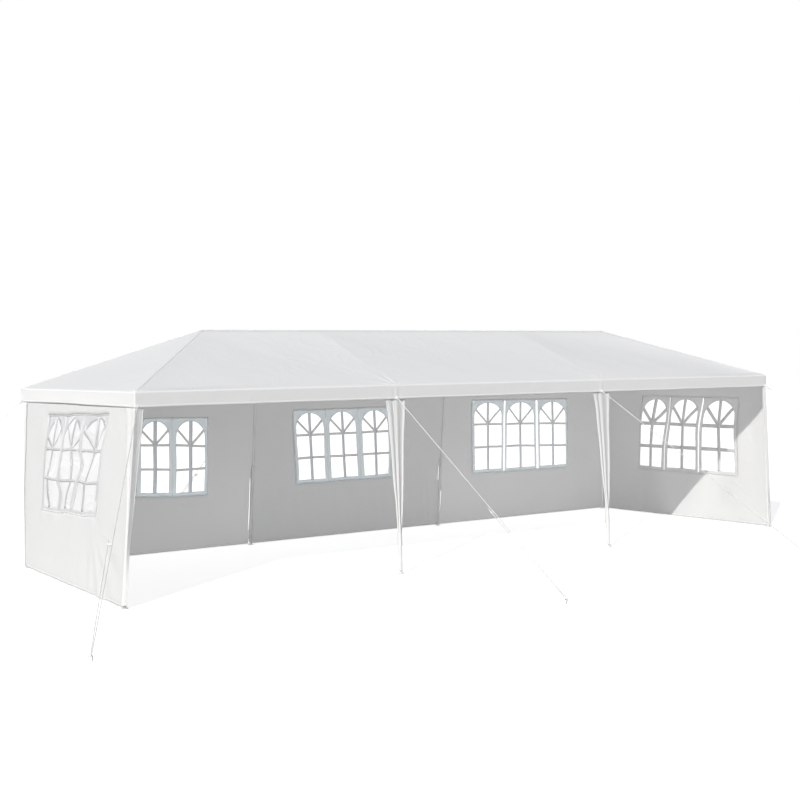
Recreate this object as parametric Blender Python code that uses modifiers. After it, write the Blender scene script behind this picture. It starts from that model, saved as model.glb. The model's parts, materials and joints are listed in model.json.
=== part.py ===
"""White party tent with three bays, a hipped roof and an open front, built piece by piece.

Metres, +Z up. The origin is on the ground at the middle of the tent. +X runs along the open front
from left to right, and +Y runs from the open front to the back wall.
"""
import math

import bmesh
import bpy
from mathutils import Matrix, Vector

# Driving sizes of the tent
TENT_LENGTH = 9.0
TENT_DEPTH = 3.0
EAVE_HEIGHT = 2.007
RIDGE_HEIGHT = 2.625
VALANCE_DROP = 0.149

# Sheets and joints
SHEET = 0.003            # thickness that every fabric sheet is modelled at
TOUCH = 0.0003           # gap left between pieces that touch
WELD = 0.00005           # points closer than this are one point

# Frame tubes
TUBE_RADIUS = 0.0125
FITTING_RADIUS = 0.0155
FITTING_REACH = 0.09     # how far a fitting's sleeve covers each tube
STUB_HEEL = 0.005        # how far each sleeve runs past the middle of its fitting
STUB_SHARE = 0.96        # a fitting's side stubs are a little slimmer than its leg sleeve
TUBE_SIDES = 12
SLEEVE_SPIN = 4.0        # sleeves and stubs are turned a little, in degrees, so that no flats coincide
STUB_SPIN = 7.0
STUB_SPIN_STEP = 3.0
FOOT_RADIUS = 0.036
FOOT_THICKNESS = 0.004
FOOT_SIDES = 20
ABOVE_GROUND = 0.001     # a leaning bar's lower end starts this high, so that no edge dips below the ground
LEG_SLEEVE = 0.17        # length of the upright sleeve that takes the leg tube

# Walls
WALL_TOP = 1.945
WALL_FOOT = 0.012
PANEL_GAP = 0.006        # slit between two back panels
LEAN_STEPS = 16          # an end wall is cut this finely before it takes its lean
FILM_THICKNESS = 0.0015
FILM_MARGIN = 0.02
RIB_WIDTH = 0.10         # fabric strip between two lights
ARCH_STEPS = 12

# Leg drapes
DRAPE_TOP = 1.925
DRAPE_KNEE = 0.42        # below this the drape is a narrow sleeve
DRAPE_FOOT = 0.030
DRAPE_WING = 0.135
DRAPE_SLEEVE = 0.024
DRAPE_LEVELS = 8

# Guy ropes
ROPE_RADIUS = 0.003
ROPE_SIDES = 6
ROPE_SPACING = 0.011     # between the two strands below the slider
TAB_SIZE = (0.024, 0.036)
KNOT_RADIUS = 0.007
KNOT_SINK = 0.0014       # how far the knot is pressed into its tab
KNOT_LIFT = 0.012        # height of the knot above the tab's lower edge
SLIDER_SIZE = (0.022, 0.008, 0.055)
SLIDER_AT = 0.6          # part of the way down the rope
STAKE_RADIUS = 0.004
STAKE_SIDES = 8
STAKE_HEIGHT = 0.055
STAKE_LEAN = 0.012
HOOK_RADIUS = 0.0042     # the hook across the stake's head is a little thicker than the stake
HOOK_SHORT = 0.0085      # its reach beside the main strand
HOOK_LONG = 0.0255       # and beyond the return strand

# Worked out from the above
HALF_LENGTH = TENT_LENGTH / 2
HALF_DEPTH = TENT_DEPTH / 2
PITCH = math.atan2(RIDGE_HEIGHT - EAVE_HEIGHT, HALF_DEPTH)
RIDGE_HALF = HALF_LENGTH - HALF_DEPTH
BAY = TENT_LENGTH / 3
VALANCE_FOOT = EAVE_HEIGHT - VALANCE_DROP
KICK_START = VALANCE_FOOT - 0.01                         # legs and walls lean only below this
FRAME_INSET = 3 * (SHEET + TOUCH) + FITTING_RADIUS        # valance, drape and wall lie outside the fittings
FRAME_X = HALF_LENGTH - FRAME_INSET
FRAME_Y = HALF_DEPTH - FRAME_INSET
ROOF_TO_AXIS = (SHEET + TOUCH + FITTING_RADIUS) / math.cos(PITCH)
FRAME_Z = EAVE_HEIGHT + FRAME_INSET * math.tan(PITCH) - ROOF_TO_AXIS
RIDGE_Z = RIDGE_HEIGHT - ROOF_TO_AXIS
DRAPE_LAYER = SHEET + TOUCH                              # depth of each layer's outer face
WALL_LAYER = 2 * (SHEET + TOUCH)

LEG_COLUMNS = {
    "left": -FRAME_X,
    "middle_left": -BAY / 2,
    "middle_right": BAY / 2,
    "right": FRAME_X,
}
LEG_ROWS = {"front": -FRAME_Y, "back": FRAME_Y}

# How far some feet were set down to the right of the spots under their leg tops, or to the left
FOOT_KICKS = {
    ("left", "front"): -0.148,
    ("middle_left", "front"): 0.050,
    ("middle_right", "front"): 0.135,
    ("right", "front"): 0.100,
    ("middle_left", "back"): -0.105,
    ("middle_right", "back"): -0.160,
}
WALL_KICKS = {"left": -0.151, "right": 0.103}            # so the end walls lie just outside those legs

# Each wall's window: middle along the wall, width over the three lights, sill height, top height,
# and how far the slack sheet lets it lean sideways for each metre of height
WINDOWS = {
    "left_end": (0.03, 1.47, 0.75, 1.73, -0.28),
    "right_end": (-0.143, 1.705, 0.69, 1.66, 0.0),
    "back_left": (-2.877, 1.325, 0.715, 1.575, 0.0),
    "back_middle": (-0.175, 1.42, 0.755, 1.607, -0.05),
    "back_right": (2.885, 1.73, 0.71, 1.645, 0.0),
}
ARCH_SHARE = 0.22        # part of a light's height that its arch takes

# Where each rope's stake stands, measured from the valance above its leg
STAKE_OFFSETS = {
    "front_left": (-1.24, -1.80),
    "front_middle_left": (0.23, -2.30),
    "front_middle_right": (1.25, -1.90),
    "front_right": (1.45, -2.00),
    "back_left": (-1.80, 1.20),
    "back_middle_left": (-0.23, 2.30),
    "back_middle_right": (0.23, 2.30),
    "back_right": (1.80, 1.20),
}

# Finishes: colour, roughness, metallic, alpha
FINISHES = {
    "coated_steel": ((0.84, 0.84, 0.83), 0.38, 0.0, 1.0),
    "roof_fabric": ((0.88, 0.88, 0.89), 0.62, 0.0, 1.0),
    "wall_fabric": ((0.86, 0.86, 0.85), 0.66, 0.0, 1.0),
    "drape_fabric": ((0.89, 0.89, 0.88), 0.62, 0.0, 1.0),
    "window_film": ((0.93, 0.95, 0.96), 0.12, 0.0, 0.35),
    "rope_cord": ((0.90, 0.90, 0.88), 0.70, 0.0, 1.0),
}


def clear_scene():
    for item in list(bpy.data.objects):
        bpy.data.objects.remove(item, do_unlink=True)


def make_collection(name):
    group = bpy.data.collections.new(name)
    bpy.context.scene.collection.children.link(group)
    return group


def make_finish(name):
    colour, roughness, metallic, alpha = FINISHES[name]
    finish = bpy.data.materials.new(name)
    finish.use_nodes = True
    shader = finish.node_tree.nodes["Principled BSDF"]
    shader.inputs["Base Color"].default_value = (*colour, 1.0)
    shader.inputs["Roughness"].default_value = roughness
    shader.inputs["Metallic"].default_value = metallic
    shader.inputs["Alpha"].default_value = alpha
    return finish


clear_scene()
TENT = make_collection("marquee_tent")
CUTTERS = make_collection("cutters")
MATERIALS = {name: make_finish(name) for name in FINISHES}


def add_piece(name, mesh, finish):
    """A finished sub-part: one named object in the tent's collection."""
    piece = bpy.data.objects.new(name, mesh)
    mesh.materials.append(MATERIALS[finish])
    TENT.objects.link(piece)
    return piece


def add_tool(name, mesh):
    """A shape that is only joined into another piece, hidden from renders."""
    tool = bpy.data.objects.new(name, mesh)
    tool.hide_render = True
    tool.display_type = "WIRE"
    CUTTERS.objects.link(tool)
    return tool


def finish_mesh(bm, name):
    bmesh.ops.recalc_face_normals(bm, faces=bm.faces)
    if bm.calc_volume(signed=True) < 0:
        bmesh.ops.reverse_faces(bm, faces=bm.faces)
    mesh = bpy.data.meshes.new(name)
    bm.to_mesh(mesh)
    bm.free()
    return mesh


def rod_mesh(name, start, end, radius, sides=TUBE_SIDES, spin=0.0):
    """Round bar from one point to another, its flats turned by spin degrees about its axis."""
    start, end = Vector(start), Vector(end)
    run = end - start
    bm = bmesh.new()
    bmesh.ops.create_cone(bm, cap_ends=True, segments=sides, radius1=radius, radius2=radius,
                          depth=run.length)
    turn = run.to_track_quat("Z", "Y").to_matrix() @ Matrix.Rotation(math.radians(spin), 3, "Z")
    bmesh.ops.rotate(bm, verts=bm.verts, cent=(0, 0, 0), matrix=turn)
    bmesh.ops.translate(bm, verts=bm.verts, vec=(start + end) / 2)
    return finish_mesh(bm, name)


def box_mesh(name, low, high):
    """Upright box between two corners."""
    low, high = Vector(low), Vector(high)
    bm = bmesh.new()
    bmesh.ops.create_cube(bm, size=1.0)
    bmesh.ops.scale(bm, verts=bm.verts, vec=high - low)
    bmesh.ops.translate(bm, verts=bm.verts, vec=(low + high) / 2)
    return finish_mesh(bm, name)


def join_into(piece, meshes):
    """Fuse more shapes into a piece with union Booleans."""
    for number, mesh in enumerate(meshes):
        tool = add_tool(f"{piece.name}_join_{number}", mesh)
        union = piece.modifiers.new(f"join_{number}", "BOOLEAN")
        union.operation = "UNION"
        union.solver = "EXACT"
        union.object = tool


def along(start, end, distance):
    """Point that lies a distance from start on the way to end."""
    start, end = Vector(start), Vector(end)
    return start + (end - start).normalized() * distance


# Frame


def frame_corner(column, row):
    return Vector((LEG_COLUMNS[column], LEG_ROWS[row], FRAME_Z))


def ridge_point(column):
    """Where the rafter or hip of a leg column meets the ridge."""
    x = LEG_COLUMNS[column]
    return Vector((math.copysign(min(abs(x), RIDGE_HALF), x), 0, RIDGE_Z))


def foot_kick(column, row):
    return FOOT_KICKS.get((column, row), 0.0)


def lean_share(z):
    """Part of its foot's sideways shift that a leaning leg or sheet has at a height."""
    return max(0.0, 1 - z / KICK_START)


def foot_point(column, row):
    return Vector((LEG_COLUMNS[column] + foot_kick(column, row), LEG_ROWS[row], 0))


def fitting_directions(column, row):
    """Ends of the tubes that meet at the top of a leg, apart from the leg itself."""
    columns = list(LEG_COLUMNS)
    place = columns.index(column)
    ends = [frame_corner(columns[near], row) for near in (place - 1, place + 1) if 0 <= near < len(columns)]
    if column in ("left", "right"):
        ends.append(frame_corner(column, "back" if row == "front" else "front"))
    ends.append(ridge_point(column))
    return ends


def build_leg(column, row):
    """Leg tube with its foot plate and the fitting pushed on its top."""
    top = frame_corner(column, row)
    foot = foot_point(column, row)
    shoulder = Vector((top.x, top.y, VALANCE_FOOT))
    tube = rod_mesh("leg_tube", foot + Vector((0, 0, ABOVE_GROUND)), shoulder, TUBE_RADIUS)
    leg = add_piece(f"leg_{row}_{column}", tube, "coated_steel")
    plate = rod_mesh("foot_plate", foot, foot + Vector((0, 0, FOOT_THICKNESS)), FOOT_RADIUS, FOOT_SIDES)
    sleeve = rod_mesh("leg_sleeve", along(top, shoulder, LEG_SLEEVE), along(top, shoulder, -STUB_HEEL),
                      FITTING_RADIUS, spin=SLEEVE_SPIN)
    stubs = [rod_mesh("stub", along(top, end, -STUB_HEEL), along(top, end, FITTING_REACH),
                      FITTING_RADIUS * STUB_SHARE, spin=STUB_SPIN + STUB_SPIN_STEP * number)
             for number, end in enumerate(fitting_directions(column, row))]
    join_into(leg, [plate, sleeve, *stubs])


def build_tube_between(name, start, end):
    """Tube that fills the run between two fittings."""
    seat = FITTING_REACH + TOUCH
    add_piece(name, rod_mesh(name, along(start, end, seat), along(end, start, seat), TUBE_RADIUS),
              "coated_steel")


def build_ridge():
    """Ridge pole with the sleeves and stubs that take the rafters and hips."""
    tube_half = RIDGE_HALF - FITTING_REACH / 2
    tube = rod_mesh("ridge_tube", (-tube_half, 0, RIDGE_Z), (tube_half, 0, RIDGE_Z), TUBE_RADIUS)
    ridge = add_piece("ridge_pole", tube, "coated_steel")
    pieces = []
    for column in LEG_COLUMNS:
        crown = ridge_point(column)
        inwards = Vector((math.copysign(1, -crown.x), 0, 0))
        heel = STUB_HEEL / 2 if column in ("left", "right") else FITTING_REACH
        pieces.append(rod_mesh("ridge_sleeve", crown - inwards * heel, crown + inwards * FITTING_REACH,
                               FITTING_RADIUS, spin=SLEEVE_SPIN))
        for number, row in enumerate(LEG_ROWS):
            end = along(crown, frame_corner(column, row), FITTING_REACH)
            pieces.append(rod_mesh("ridge_stub", crown, end, FITTING_RADIUS * STUB_SHARE,
                                   spin=STUB_SPIN + STUB_SPIN_STEP * number))
    join_into(ridge, pieces)


def build_frame():
    columns = list(LEG_COLUMNS)
    for row in LEG_ROWS:
        for column in columns:
            build_leg(column, row)
        for start, end, label in zip(columns, columns[1:], ("left", "middle", "right")):
            build_tube_between(f"eave_tube_{row}_{label}", frame_corner(start, row), frame_corner(end, row))
        for column in columns:
            kind = "hip_rafter" if column in ("left", "right") else "rafter"
            build_tube_between(f"{kind}_{row}_{column}", frame_corner(column, row), ridge_point(column))
    for end in ("left", "right"):
        build_tube_between(f"eave_tube_{end}_end", frame_corner(end, "front"), frame_corner(end, "back"))
    build_ridge()


# Cover


def roof_height(x, y):
    """Outer height of the hipped roof, which rises alike from all four eaves."""
    inset = min(HALF_DEPTH - abs(y), HALF_LENGTH - abs(x))
    return EAVE_HEIGHT + inset * math.tan(PITCH)


def build_roof_panel(name, plan):
    """One flat slope of the cover: its plan outline lifted to the roof and given thickness downwards."""
    drop = SHEET / math.cos(PITCH)
    bm = bmesh.new()
    corners = [bm.verts.new((x, y, roof_height(x, y))) for x, y in plan]
    panel = bm.faces.new(corners)
    lower = bmesh.ops.extrude_face_region(bm, geom=[panel])
    under = [part for part in lower["geom"] if isinstance(part, bmesh.types.BMVert)]
    bmesh.ops.translate(bm, verts=under, vec=(0, 0, -drop))
    add_piece(name, finish_mesh(bm, name), "roof_fabric")


def build_cover():
    seam = TOUCH / 2
    seam_mitre = seam * math.sqrt(2)
    for name, side in (("roof_front_slope", -1), ("roof_back_slope", 1)):
        build_roof_panel(name, [(-HALF_LENGTH + seam_mitre, side * HALF_DEPTH),
                                (HALF_LENGTH - seam_mitre, side * HALF_DEPTH),
                                (RIDGE_HALF, side * seam), (-RIDGE_HALF, side * seam)])
    for name, side in (("roof_left_hip_end", -1), ("roof_right_hip_end", 1)):
        build_roof_panel(name, [(side * HALF_LENGTH, -HALF_DEPTH + seam_mitre),
                                (side * HALF_LENGTH, HALF_DEPTH - seam_mitre),
                                (side * (RIDGE_HALF + seam_mitre), 0)])
    top = EAVE_HEIGHT - SHEET / math.cos(PITCH) - TOUCH
    for name, side in (("valance_front", -1), ("valance_back", 1)):
        near, far = sorted((side * HALF_DEPTH, side * (HALF_DEPTH - SHEET)))
        add_piece(name, box_mesh(name, (-HALF_LENGTH, near, VALANCE_FOOT), (HALF_LENGTH, far, top)),
                  "roof_fabric")
    reach = HALF_DEPTH - SHEET - TOUCH
    for name, side in (("valance_left_end", -1), ("valance_right_end", 1)):
        near, far = sorted((side * HALF_LENGTH, side * (HALF_LENGTH - SHEET)))
        add_piece(name, box_mesh(name, (near, -reach, VALANCE_FOOT), (far, reach, top)), "roof_fabric")


# Walls


def arch_outline(middle, width, sill, top):
    """Outline of one light: straight sides under a half ellipse."""
    spring = top - (top - sill) * ARCH_SHARE
    half = width / 2
    points = [(middle - half, sill), (middle + half, sill)]
    for step in range(ARCH_STEPS + 1):
        angle = math.pi * step / ARCH_STEPS
        points.append((middle + half * math.cos(angle), spring + (top - spring) * math.sin(angle)))
    return points


def flat_sheet(name, outlines, thickness):
    """Sheet in the XY plane whose first outline is its edge and whose other outlines are holes."""
    curve = bpy.data.curves.new(name, "CURVE")
    curve.dimensions = "2D"
    curve.fill_mode = "BOTH"
    curve.extrude = thickness / 2
    for outline in outlines:
        spline = curve.splines.new("POLY")
        spline.points.add(len(outline) - 1)
        for point, (x, y) in zip(spline.points, outline):
            point.co = (x, y, 0, 1)
        spline.use_cyclic_u = True
    guide = bpy.data.objects.new(name, curve)
    CUTTERS.objects.link(guide)
    mesh = bpy.data.meshes.new_from_object(guide.evaluated_get(bpy.context.evaluated_depsgraph_get()))
    bpy.data.objects.remove(guide, do_unlink=True)
    return mesh


def rectangle(low, high):
    return [(low[0], low[1]), (high[0], low[1]), (high[0], high[1]), (low[0], high[1])]


def panel_outline(near, far, near_kick, far_kick):
    """Upright panel whose side edges lean with the legs that they are tied to."""
    lean = lean_share(WALL_FOOT)
    return [(near + near_kick * lean, WALL_FOOT), (far + far_kick * lean, WALL_FOOT), (far, KICK_START),
            (far, WALL_TOP), (near, WALL_TOP), (near, KICK_START)]


def leaned(outline, lean, level):
    """The same outline pushed sideways, by more the further a point lies from a level."""
    return [(x + lean * (y - level), y) for x, y in outline]


def end_wall_shift(side, y, z):
    """How far an end wall is carried outwards by the leg that stands out at its front foot."""
    return WALL_KICKS[side] * lean_share(z) * (HALF_DEPTH - y) / TENT_DEPTH


def stand_sheet(mesh, side, depth):
    """Stand a flat sheet up against one side of the tent, its middle a given depth inside the cover."""
    bm = bmesh.new()
    bm.from_mesh(mesh)
    bmesh.ops.remove_doubles(bm, verts=bm.verts, dist=WELD)
    if side != "back":
        for step in range(1, LEAN_STEPS + 1):
            upright = Vector((-HALF_DEPTH + TENT_DEPTH * step / LEAN_STEPS, 0, 0))
            level = Vector((0, KICK_START * step / LEAN_STEPS, 0))
            for spot, across in ((upright, (1, 0, 0)), (level, (0, 1, 0))):
                bmesh.ops.bisect_plane(bm, geom=bm.verts[:] + bm.edges[:] + bm.faces[:],
                                       plane_co=spot, plane_no=across, dist=WELD)
        bmesh.ops.triangulate(bm, faces=bm.faces)
    for vert in bm.verts:
        u, v, w = vert.co
        if side == "back":
            vert.co = (u, HALF_DEPTH - depth + w, v)
        elif side == "right":
            vert.co = (HALF_LENGTH - depth + w + end_wall_shift(side, u, v), u, v)
        else:
            vert.co = (-HALF_LENGTH + depth + w + end_wall_shift(side, u, v), u, v)
    return finish_mesh(bm, mesh.name)


def build_wall(label, side, near, far, near_kick=0.0, far_kick=0.0):
    """One wall sheet with its three arched lights, and the clear film behind them."""
    middle, width, sill, top, lean = WINDOWS[label]
    level = (sill + top) / 2
    light = (width - 2 * RIB_WIDTH) / 3
    lights = [leaned(arch_outline(middle + step * (light + RIB_WIDTH), light, sill, top), lean, level)
              for step in (-1, 0, 1)]
    wall = flat_sheet(f"wall_{label}", [panel_outline(near, far, near_kick, far_kick), *lights], SHEET)
    add_piece(f"wall_{label}", stand_sheet(wall, side, WALL_LAYER + SHEET / 2), "wall_fabric")
    edge = width / 2 + FILM_MARGIN
    pane = rectangle((middle - edge, sill - FILM_MARGIN), (middle + edge, top + FILM_MARGIN))
    film = flat_sheet(f"window_film_{label}", [leaned(pane, lean, level)], FILM_THICKNESS)
    film_depth = WALL_LAYER + SHEET + 1.5 * TOUCH + FILM_THICKNESS / 2
    add_piece(f"window_film_{label}", stand_sheet(film, side, film_depth), "window_film")


def build_walls():
    wall_outer = HALF_LENGTH - WALL_LAYER
    back_inner = HALF_DEPTH - WALL_LAYER - SHEET
    front_edge = -(HALF_DEPTH - WALL_LAYER - SHEET)
    build_wall("left_end", "left", front_edge, back_inner - TOUCH)
    build_wall("right_end", "right", front_edge, back_inner - TOUCH)
    seams = (-wall_outer, -BAY / 2, BAY / 2, wall_outer)
    kicks = [foot_kick(column, "back") for column in LEG_COLUMNS]
    for place, label in enumerate(("back_left", "back_middle", "back_right")):
        near = seams[place] + (PANEL_GAP / 2 if place > 0 else 0)
        far = seams[place + 1] - (PANEL_GAP / 2 if place < 2 else 0)
        build_wall(label, "back", near, far, kicks[place], kicks[place + 1])


# Leg drapes


def drape_reach(z):
    """Half width of a drape: it narrows evenly to the knee and then hugs the leg."""
    if z <= DRAPE_KNEE:
        return DRAPE_SLEEVE
    share = (z - DRAPE_KNEE) / (DRAPE_TOP - DRAPE_KNEE)
    return DRAPE_SLEEVE + (DRAPE_WING - DRAPE_SLEEVE) * share


def drape_section(column, row, z):
    """Plan line of the drape at one height: a band across the leg, or an angle round a corner leg."""
    depth = DRAPE_LAYER + SHEET / 2
    reach = drape_reach(z)
    outward = math.copysign(1, LEG_ROWS[row])
    face = outward * (HALF_DEPTH - depth)
    if column in ("left", "right"):
        side = math.copysign(1, LEG_COLUMNS[column])
        corner = side * (HALF_LENGTH - depth)
        wing = FRAME_INSET + reach
        line = [(side * (HALF_LENGTH - wing), face), (corner, face), (corner, outward * (HALF_DEPTH - wing))]
        return [(x + end_wall_shift(column, y, z), y) for x, y in line]
    middle = LEG_COLUMNS[column] + foot_kick(column, row) * lean_share(z)
    return [(middle - reach, face), (middle, face), (middle + reach, face)]


def build_drape(column, row):
    """Gathered drape of one leg, kept plain: a tapering sheet that follows the leg."""
    rise = (KICK_START - DRAPE_KNEE) / DRAPE_LEVELS
    levels = [DRAPE_FOOT] + [DRAPE_KNEE + rise * step for step in range(DRAPE_LEVELS + 1)] + [DRAPE_TOP]
    bm = bmesh.new()
    strips = [[bm.verts.new((x, y, z)) for x, y in drape_section(column, row, z)] for z in levels]
    for below, above in zip(strips, strips[1:]):
        for first in range(len(below) - 1):
            bm.faces.new((below[first], below[first + 1], above[first + 1], above[first]))
    name = f"leg_drape_{row}_{column}"
    drape = add_piece(name, finish_mesh(bm, name), "drape_fabric")
    thick = drape.modifiers.new("thickness", "SOLIDIFY")
    thick.thickness = SHEET
    thick.offset = 0.0
    thick.use_even_offset = True


# Guy ropes


def aligned_box(name, centre, along_axis, size):
    """Box whose height runs along a direction."""
    bm = bmesh.new()
    bmesh.ops.create_cube(bm, size=1.0)
    bmesh.ops.scale(bm, verts=bm.verts, vec=size)
    turn = Vector(along_axis).to_track_quat("Z", "Y").to_matrix()
    bmesh.ops.rotate(bm, verts=bm.verts, cent=(0, 0, 0), matrix=turn)
    bmesh.ops.translate(bm, verts=bm.verts, vec=centre)
    return finish_mesh(bm, name)


def build_rope(column, row):
    """Taut guy rope from the sewn loop above a leg, through its slider, to the stake."""
    side = -1 if row == "front" else 1
    x = LEG_COLUMNS[column]
    face = side * (HALF_DEPTH + TOUCH)
    pull = Vector((*STAKE_OFFSETS[f"{row}_{column}"], 0))
    stake_foot = Vector((x, side * HALF_DEPTH, ABOVE_GROUND)) + pull
    head = stake_foot + pull.normalized() * STAKE_LEAN + Vector((0, 0, STAKE_HEIGHT))
    knot = Vector((x, face + side * (SHEET + KNOT_RADIUS - KNOT_SINK), VALANCE_FOOT + KNOT_LIFT))
    eye = head - Vector((0, 0, STAKE_RADIUS * 2))
    name = f"guy_rope_{row}_{column}"
    near, far = sorted((face, face + side * SHEET))
    tab_width, tab_height = TAB_SIZE
    tab = box_mesh("tab", (x - tab_width / 2, near, VALANCE_FOOT),
                   (x + tab_width / 2, far, VALANCE_FOOT + tab_height))
    rope = add_piece(name, tab, "rope_cord")
    knot_ball = bmesh.new()
    bmesh.ops.create_uvsphere(knot_ball, u_segments=8, v_segments=6, radius=KNOT_RADIUS)
    bmesh.ops.translate(knot_ball, verts=knot_ball.verts, vec=knot)
    slider_at = knot.lerp(eye, SLIDER_AT)
    run = (eye - knot).normalized()
    across = run.cross(Vector((0, 0, 1))).normalized()
    beside = across * ROPE_SPACING
    strand = rod_mesh("strand", knot, eye, ROPE_RADIUS, ROPE_SIDES)
    return_strand = rod_mesh("return_strand", slider_at + beside, eye + beside, ROPE_RADIUS, ROPE_SIDES)
    slider = aligned_box("slider", slider_at + beside / 2, run, SLIDER_SIZE)
    stake = rod_mesh("stake", stake_foot, head, STAKE_RADIUS, STAKE_SIDES)
    hook = rod_mesh("hook", eye - across * HOOK_SHORT, eye + across * HOOK_LONG, HOOK_RADIUS, STAKE_SIDES)
    join_into(rope, [finish_mesh(knot_ball, "knot"), strand, slider, return_strand, hook, stake])


build_frame()
build_cover()
build_walls()
for leg_row in LEG_ROWS:
    for leg_column in LEG_COLUMNS:
        build_drape(leg_column, leg_row)
        build_rope(leg_column, leg_row)
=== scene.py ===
import json
import math

import bmesh
import bpy
import numpy as np
from mathutils import Matrix, Vector

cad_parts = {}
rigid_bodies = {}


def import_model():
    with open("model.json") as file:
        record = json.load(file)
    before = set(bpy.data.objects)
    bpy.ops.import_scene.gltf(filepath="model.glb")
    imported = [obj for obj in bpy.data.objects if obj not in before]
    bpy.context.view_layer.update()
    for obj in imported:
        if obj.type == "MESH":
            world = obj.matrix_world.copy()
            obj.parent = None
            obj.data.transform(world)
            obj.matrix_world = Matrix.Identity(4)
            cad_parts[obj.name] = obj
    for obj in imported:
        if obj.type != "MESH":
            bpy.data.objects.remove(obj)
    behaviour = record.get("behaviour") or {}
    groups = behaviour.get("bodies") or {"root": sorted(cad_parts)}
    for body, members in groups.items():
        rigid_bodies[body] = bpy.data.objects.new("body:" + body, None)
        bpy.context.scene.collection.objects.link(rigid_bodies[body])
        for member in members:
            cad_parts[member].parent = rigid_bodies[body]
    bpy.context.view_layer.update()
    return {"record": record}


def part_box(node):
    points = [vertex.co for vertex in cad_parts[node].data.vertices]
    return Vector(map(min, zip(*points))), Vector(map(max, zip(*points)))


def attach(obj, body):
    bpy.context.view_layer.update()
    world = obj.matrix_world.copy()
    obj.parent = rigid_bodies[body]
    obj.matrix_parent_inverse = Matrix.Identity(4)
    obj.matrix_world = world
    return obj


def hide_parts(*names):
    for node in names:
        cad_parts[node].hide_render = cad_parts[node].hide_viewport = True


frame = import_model()
print("frame loaded")


# Main measures, read from the frame

setting = {
    "eaveGap": 0.0036,      # the valance's solid stops this far under the sheet of the slope
    "leanTop": 0.01,        # the legs lean from this far under the valance's edge downwards
    "wallLead": 0.003,      # an end wall's front edge leans this much more than its leg
}


def middleOf(node):
    low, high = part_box(node)
    return (low + high) / 2


valanceLow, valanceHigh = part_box("valance_front")
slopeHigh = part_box("roof_front_slope")[1]
wallLow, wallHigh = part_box("wall_back_middle")
halfLength, halfDepth, valanceFoot = valanceHigh.x, -valanceLow.y, valanceLow.z
eaveHeight = valanceHigh.z + setting["eaveGap"]
roofTan = (slopeHigh.z - eaveHeight) / halfDepth
roofCos = math.cos(math.atan(roofTan))
bay = 2 * halfLength / 3
wallTop, wallFoot = wallHigh.z, wallLow.z
wallDepth = halfDepth - (wallLow.y + wallHigh.y) / 2      # of the middle of each wall sheet inside the cover
frameX = middleOf("eave_tube_right_end").x
frameY, tubeHeight = middleOf("eave_tube_back_middle")[1:]
legColumns = {"left": -frameX, "middle_left": -bay / 2, "middle_right": bay / 2, "right": frameX}
legRows = {"front": -frameY, "back": frameY}
footPlaces = {mount["name"]: mount["pos_m"][0] for mount in frame["record"]["mounts"]}


def footKick(column, row):
    # how far a foot was set down beside the spot under its leg top
    return footPlaces[f"foot_{row}_{column}"] - legColumns[column]


def leanShare(z):
    # share of the foot's kick at a height: 1 on the ground, falling evenly to 0 just under the valance's edge
    return np.maximum(0, 1 - z / (valanceFoot - setting["leanTop"]))


def endShift(side, y, z):
    # a front corner leg carries its end wall along: linear in height and in depth, a little more than the leg
    kick = footKick(side, "front")
    return (kick + math.copysign(setting["wallLead"], kick)) * leanShare(z) * (halfDepth - y) / (2 * halfDepth)


# Mesh helpers

def smoothStep(x):
    x = np.clip(x, 0.0, 1.0)
    return x * x * (3 - 2 * x)


def curveThrough(x, knots, values):
    # a smooth curve through the knots: a cubic between each two, sloped like its neighbours
    knots, values = np.asarray(knots, float), np.asarray(values, float)
    slopes = np.gradient(values, knots)
    x = np.clip(x, knots[0], knots[-1])
    i = np.clip(np.searchsorted(knots, x, side="right") - 1, 0, len(knots) - 2)
    gap = knots[i + 1] - knots[i]
    t = (x - knots[i]) / gap
    start = values[i] * (1 + 2 * t) + slopes[i] * gap * t
    end = values[i + 1] * (3 - 2 * t) - slopes[i + 1] * gap * (1 - t)
    return start * (1 - t) ** 2 + end * t ** 2


def softNoise(a, b, seed, size, waves=7):
    # gentle unevenness over a surface: a sum of waves of about the given size, in seeded directions
    rng = np.random.default_rng(seed)
    turn = rng.uniform(0, 2 * math.pi, waves)
    length = size * rng.uniform(0.6, 1.8, waves)
    phase = rng.uniform(0, 2 * math.pi, waves)
    total = 0
    for k in range(waves):
        run = a * math.cos(turn[k]) + b * math.sin(turn[k])
        total = total + np.sin(2 * math.pi * run / length[k] + phase[k])
    return total / waves


def stacked(*parts):
    # numbers and arrays joined along a new last axis, as points or as places on the flat cloth
    return np.stack(np.broadcast_arrays(*parts), axis=-1)


def unit(v):
    v = np.asarray(v, float)
    return v / np.linalg.norm(v, axis=-1, keepdims=True)


def gridFaces(rows, columns, wrap=False):
    # the quads between neighbours on a grid whose points are numbered row by row
    ids = np.arange(rows * columns).reshape(rows, columns)
    if wrap:
        ids = np.concatenate([ids, ids[:, :1]], axis=1)
    return stacked(ids[:-1, :-1], ids[:-1, 1:], ids[1:, 1:], ids[1:, :-1]).reshape(-1, 4).tolist()


def gridPart(points, flat=None, wrap=False):
    # one grid of points as (points, quads, places on the flat cloth)
    rows, columns = points.shape[:2]
    flat = np.zeros((rows * columns, 2)) if flat is None else flat.reshape(-1, 2)
    return points.reshape(-1, 3), gridFaces(rows, columns, wrap), flat


def joinParts(parts):
    points, faces, flat, start = [], [], [], 0
    for partPoints, partFaces, partFlat in parts:
        points.append(partPoints)
        flat.append(partFlat)
        faces += [[i + start for i in face] for face in partFaces]
        start += len(partPoints)
    return np.concatenate(points), faces, np.concatenate(flat)


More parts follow.
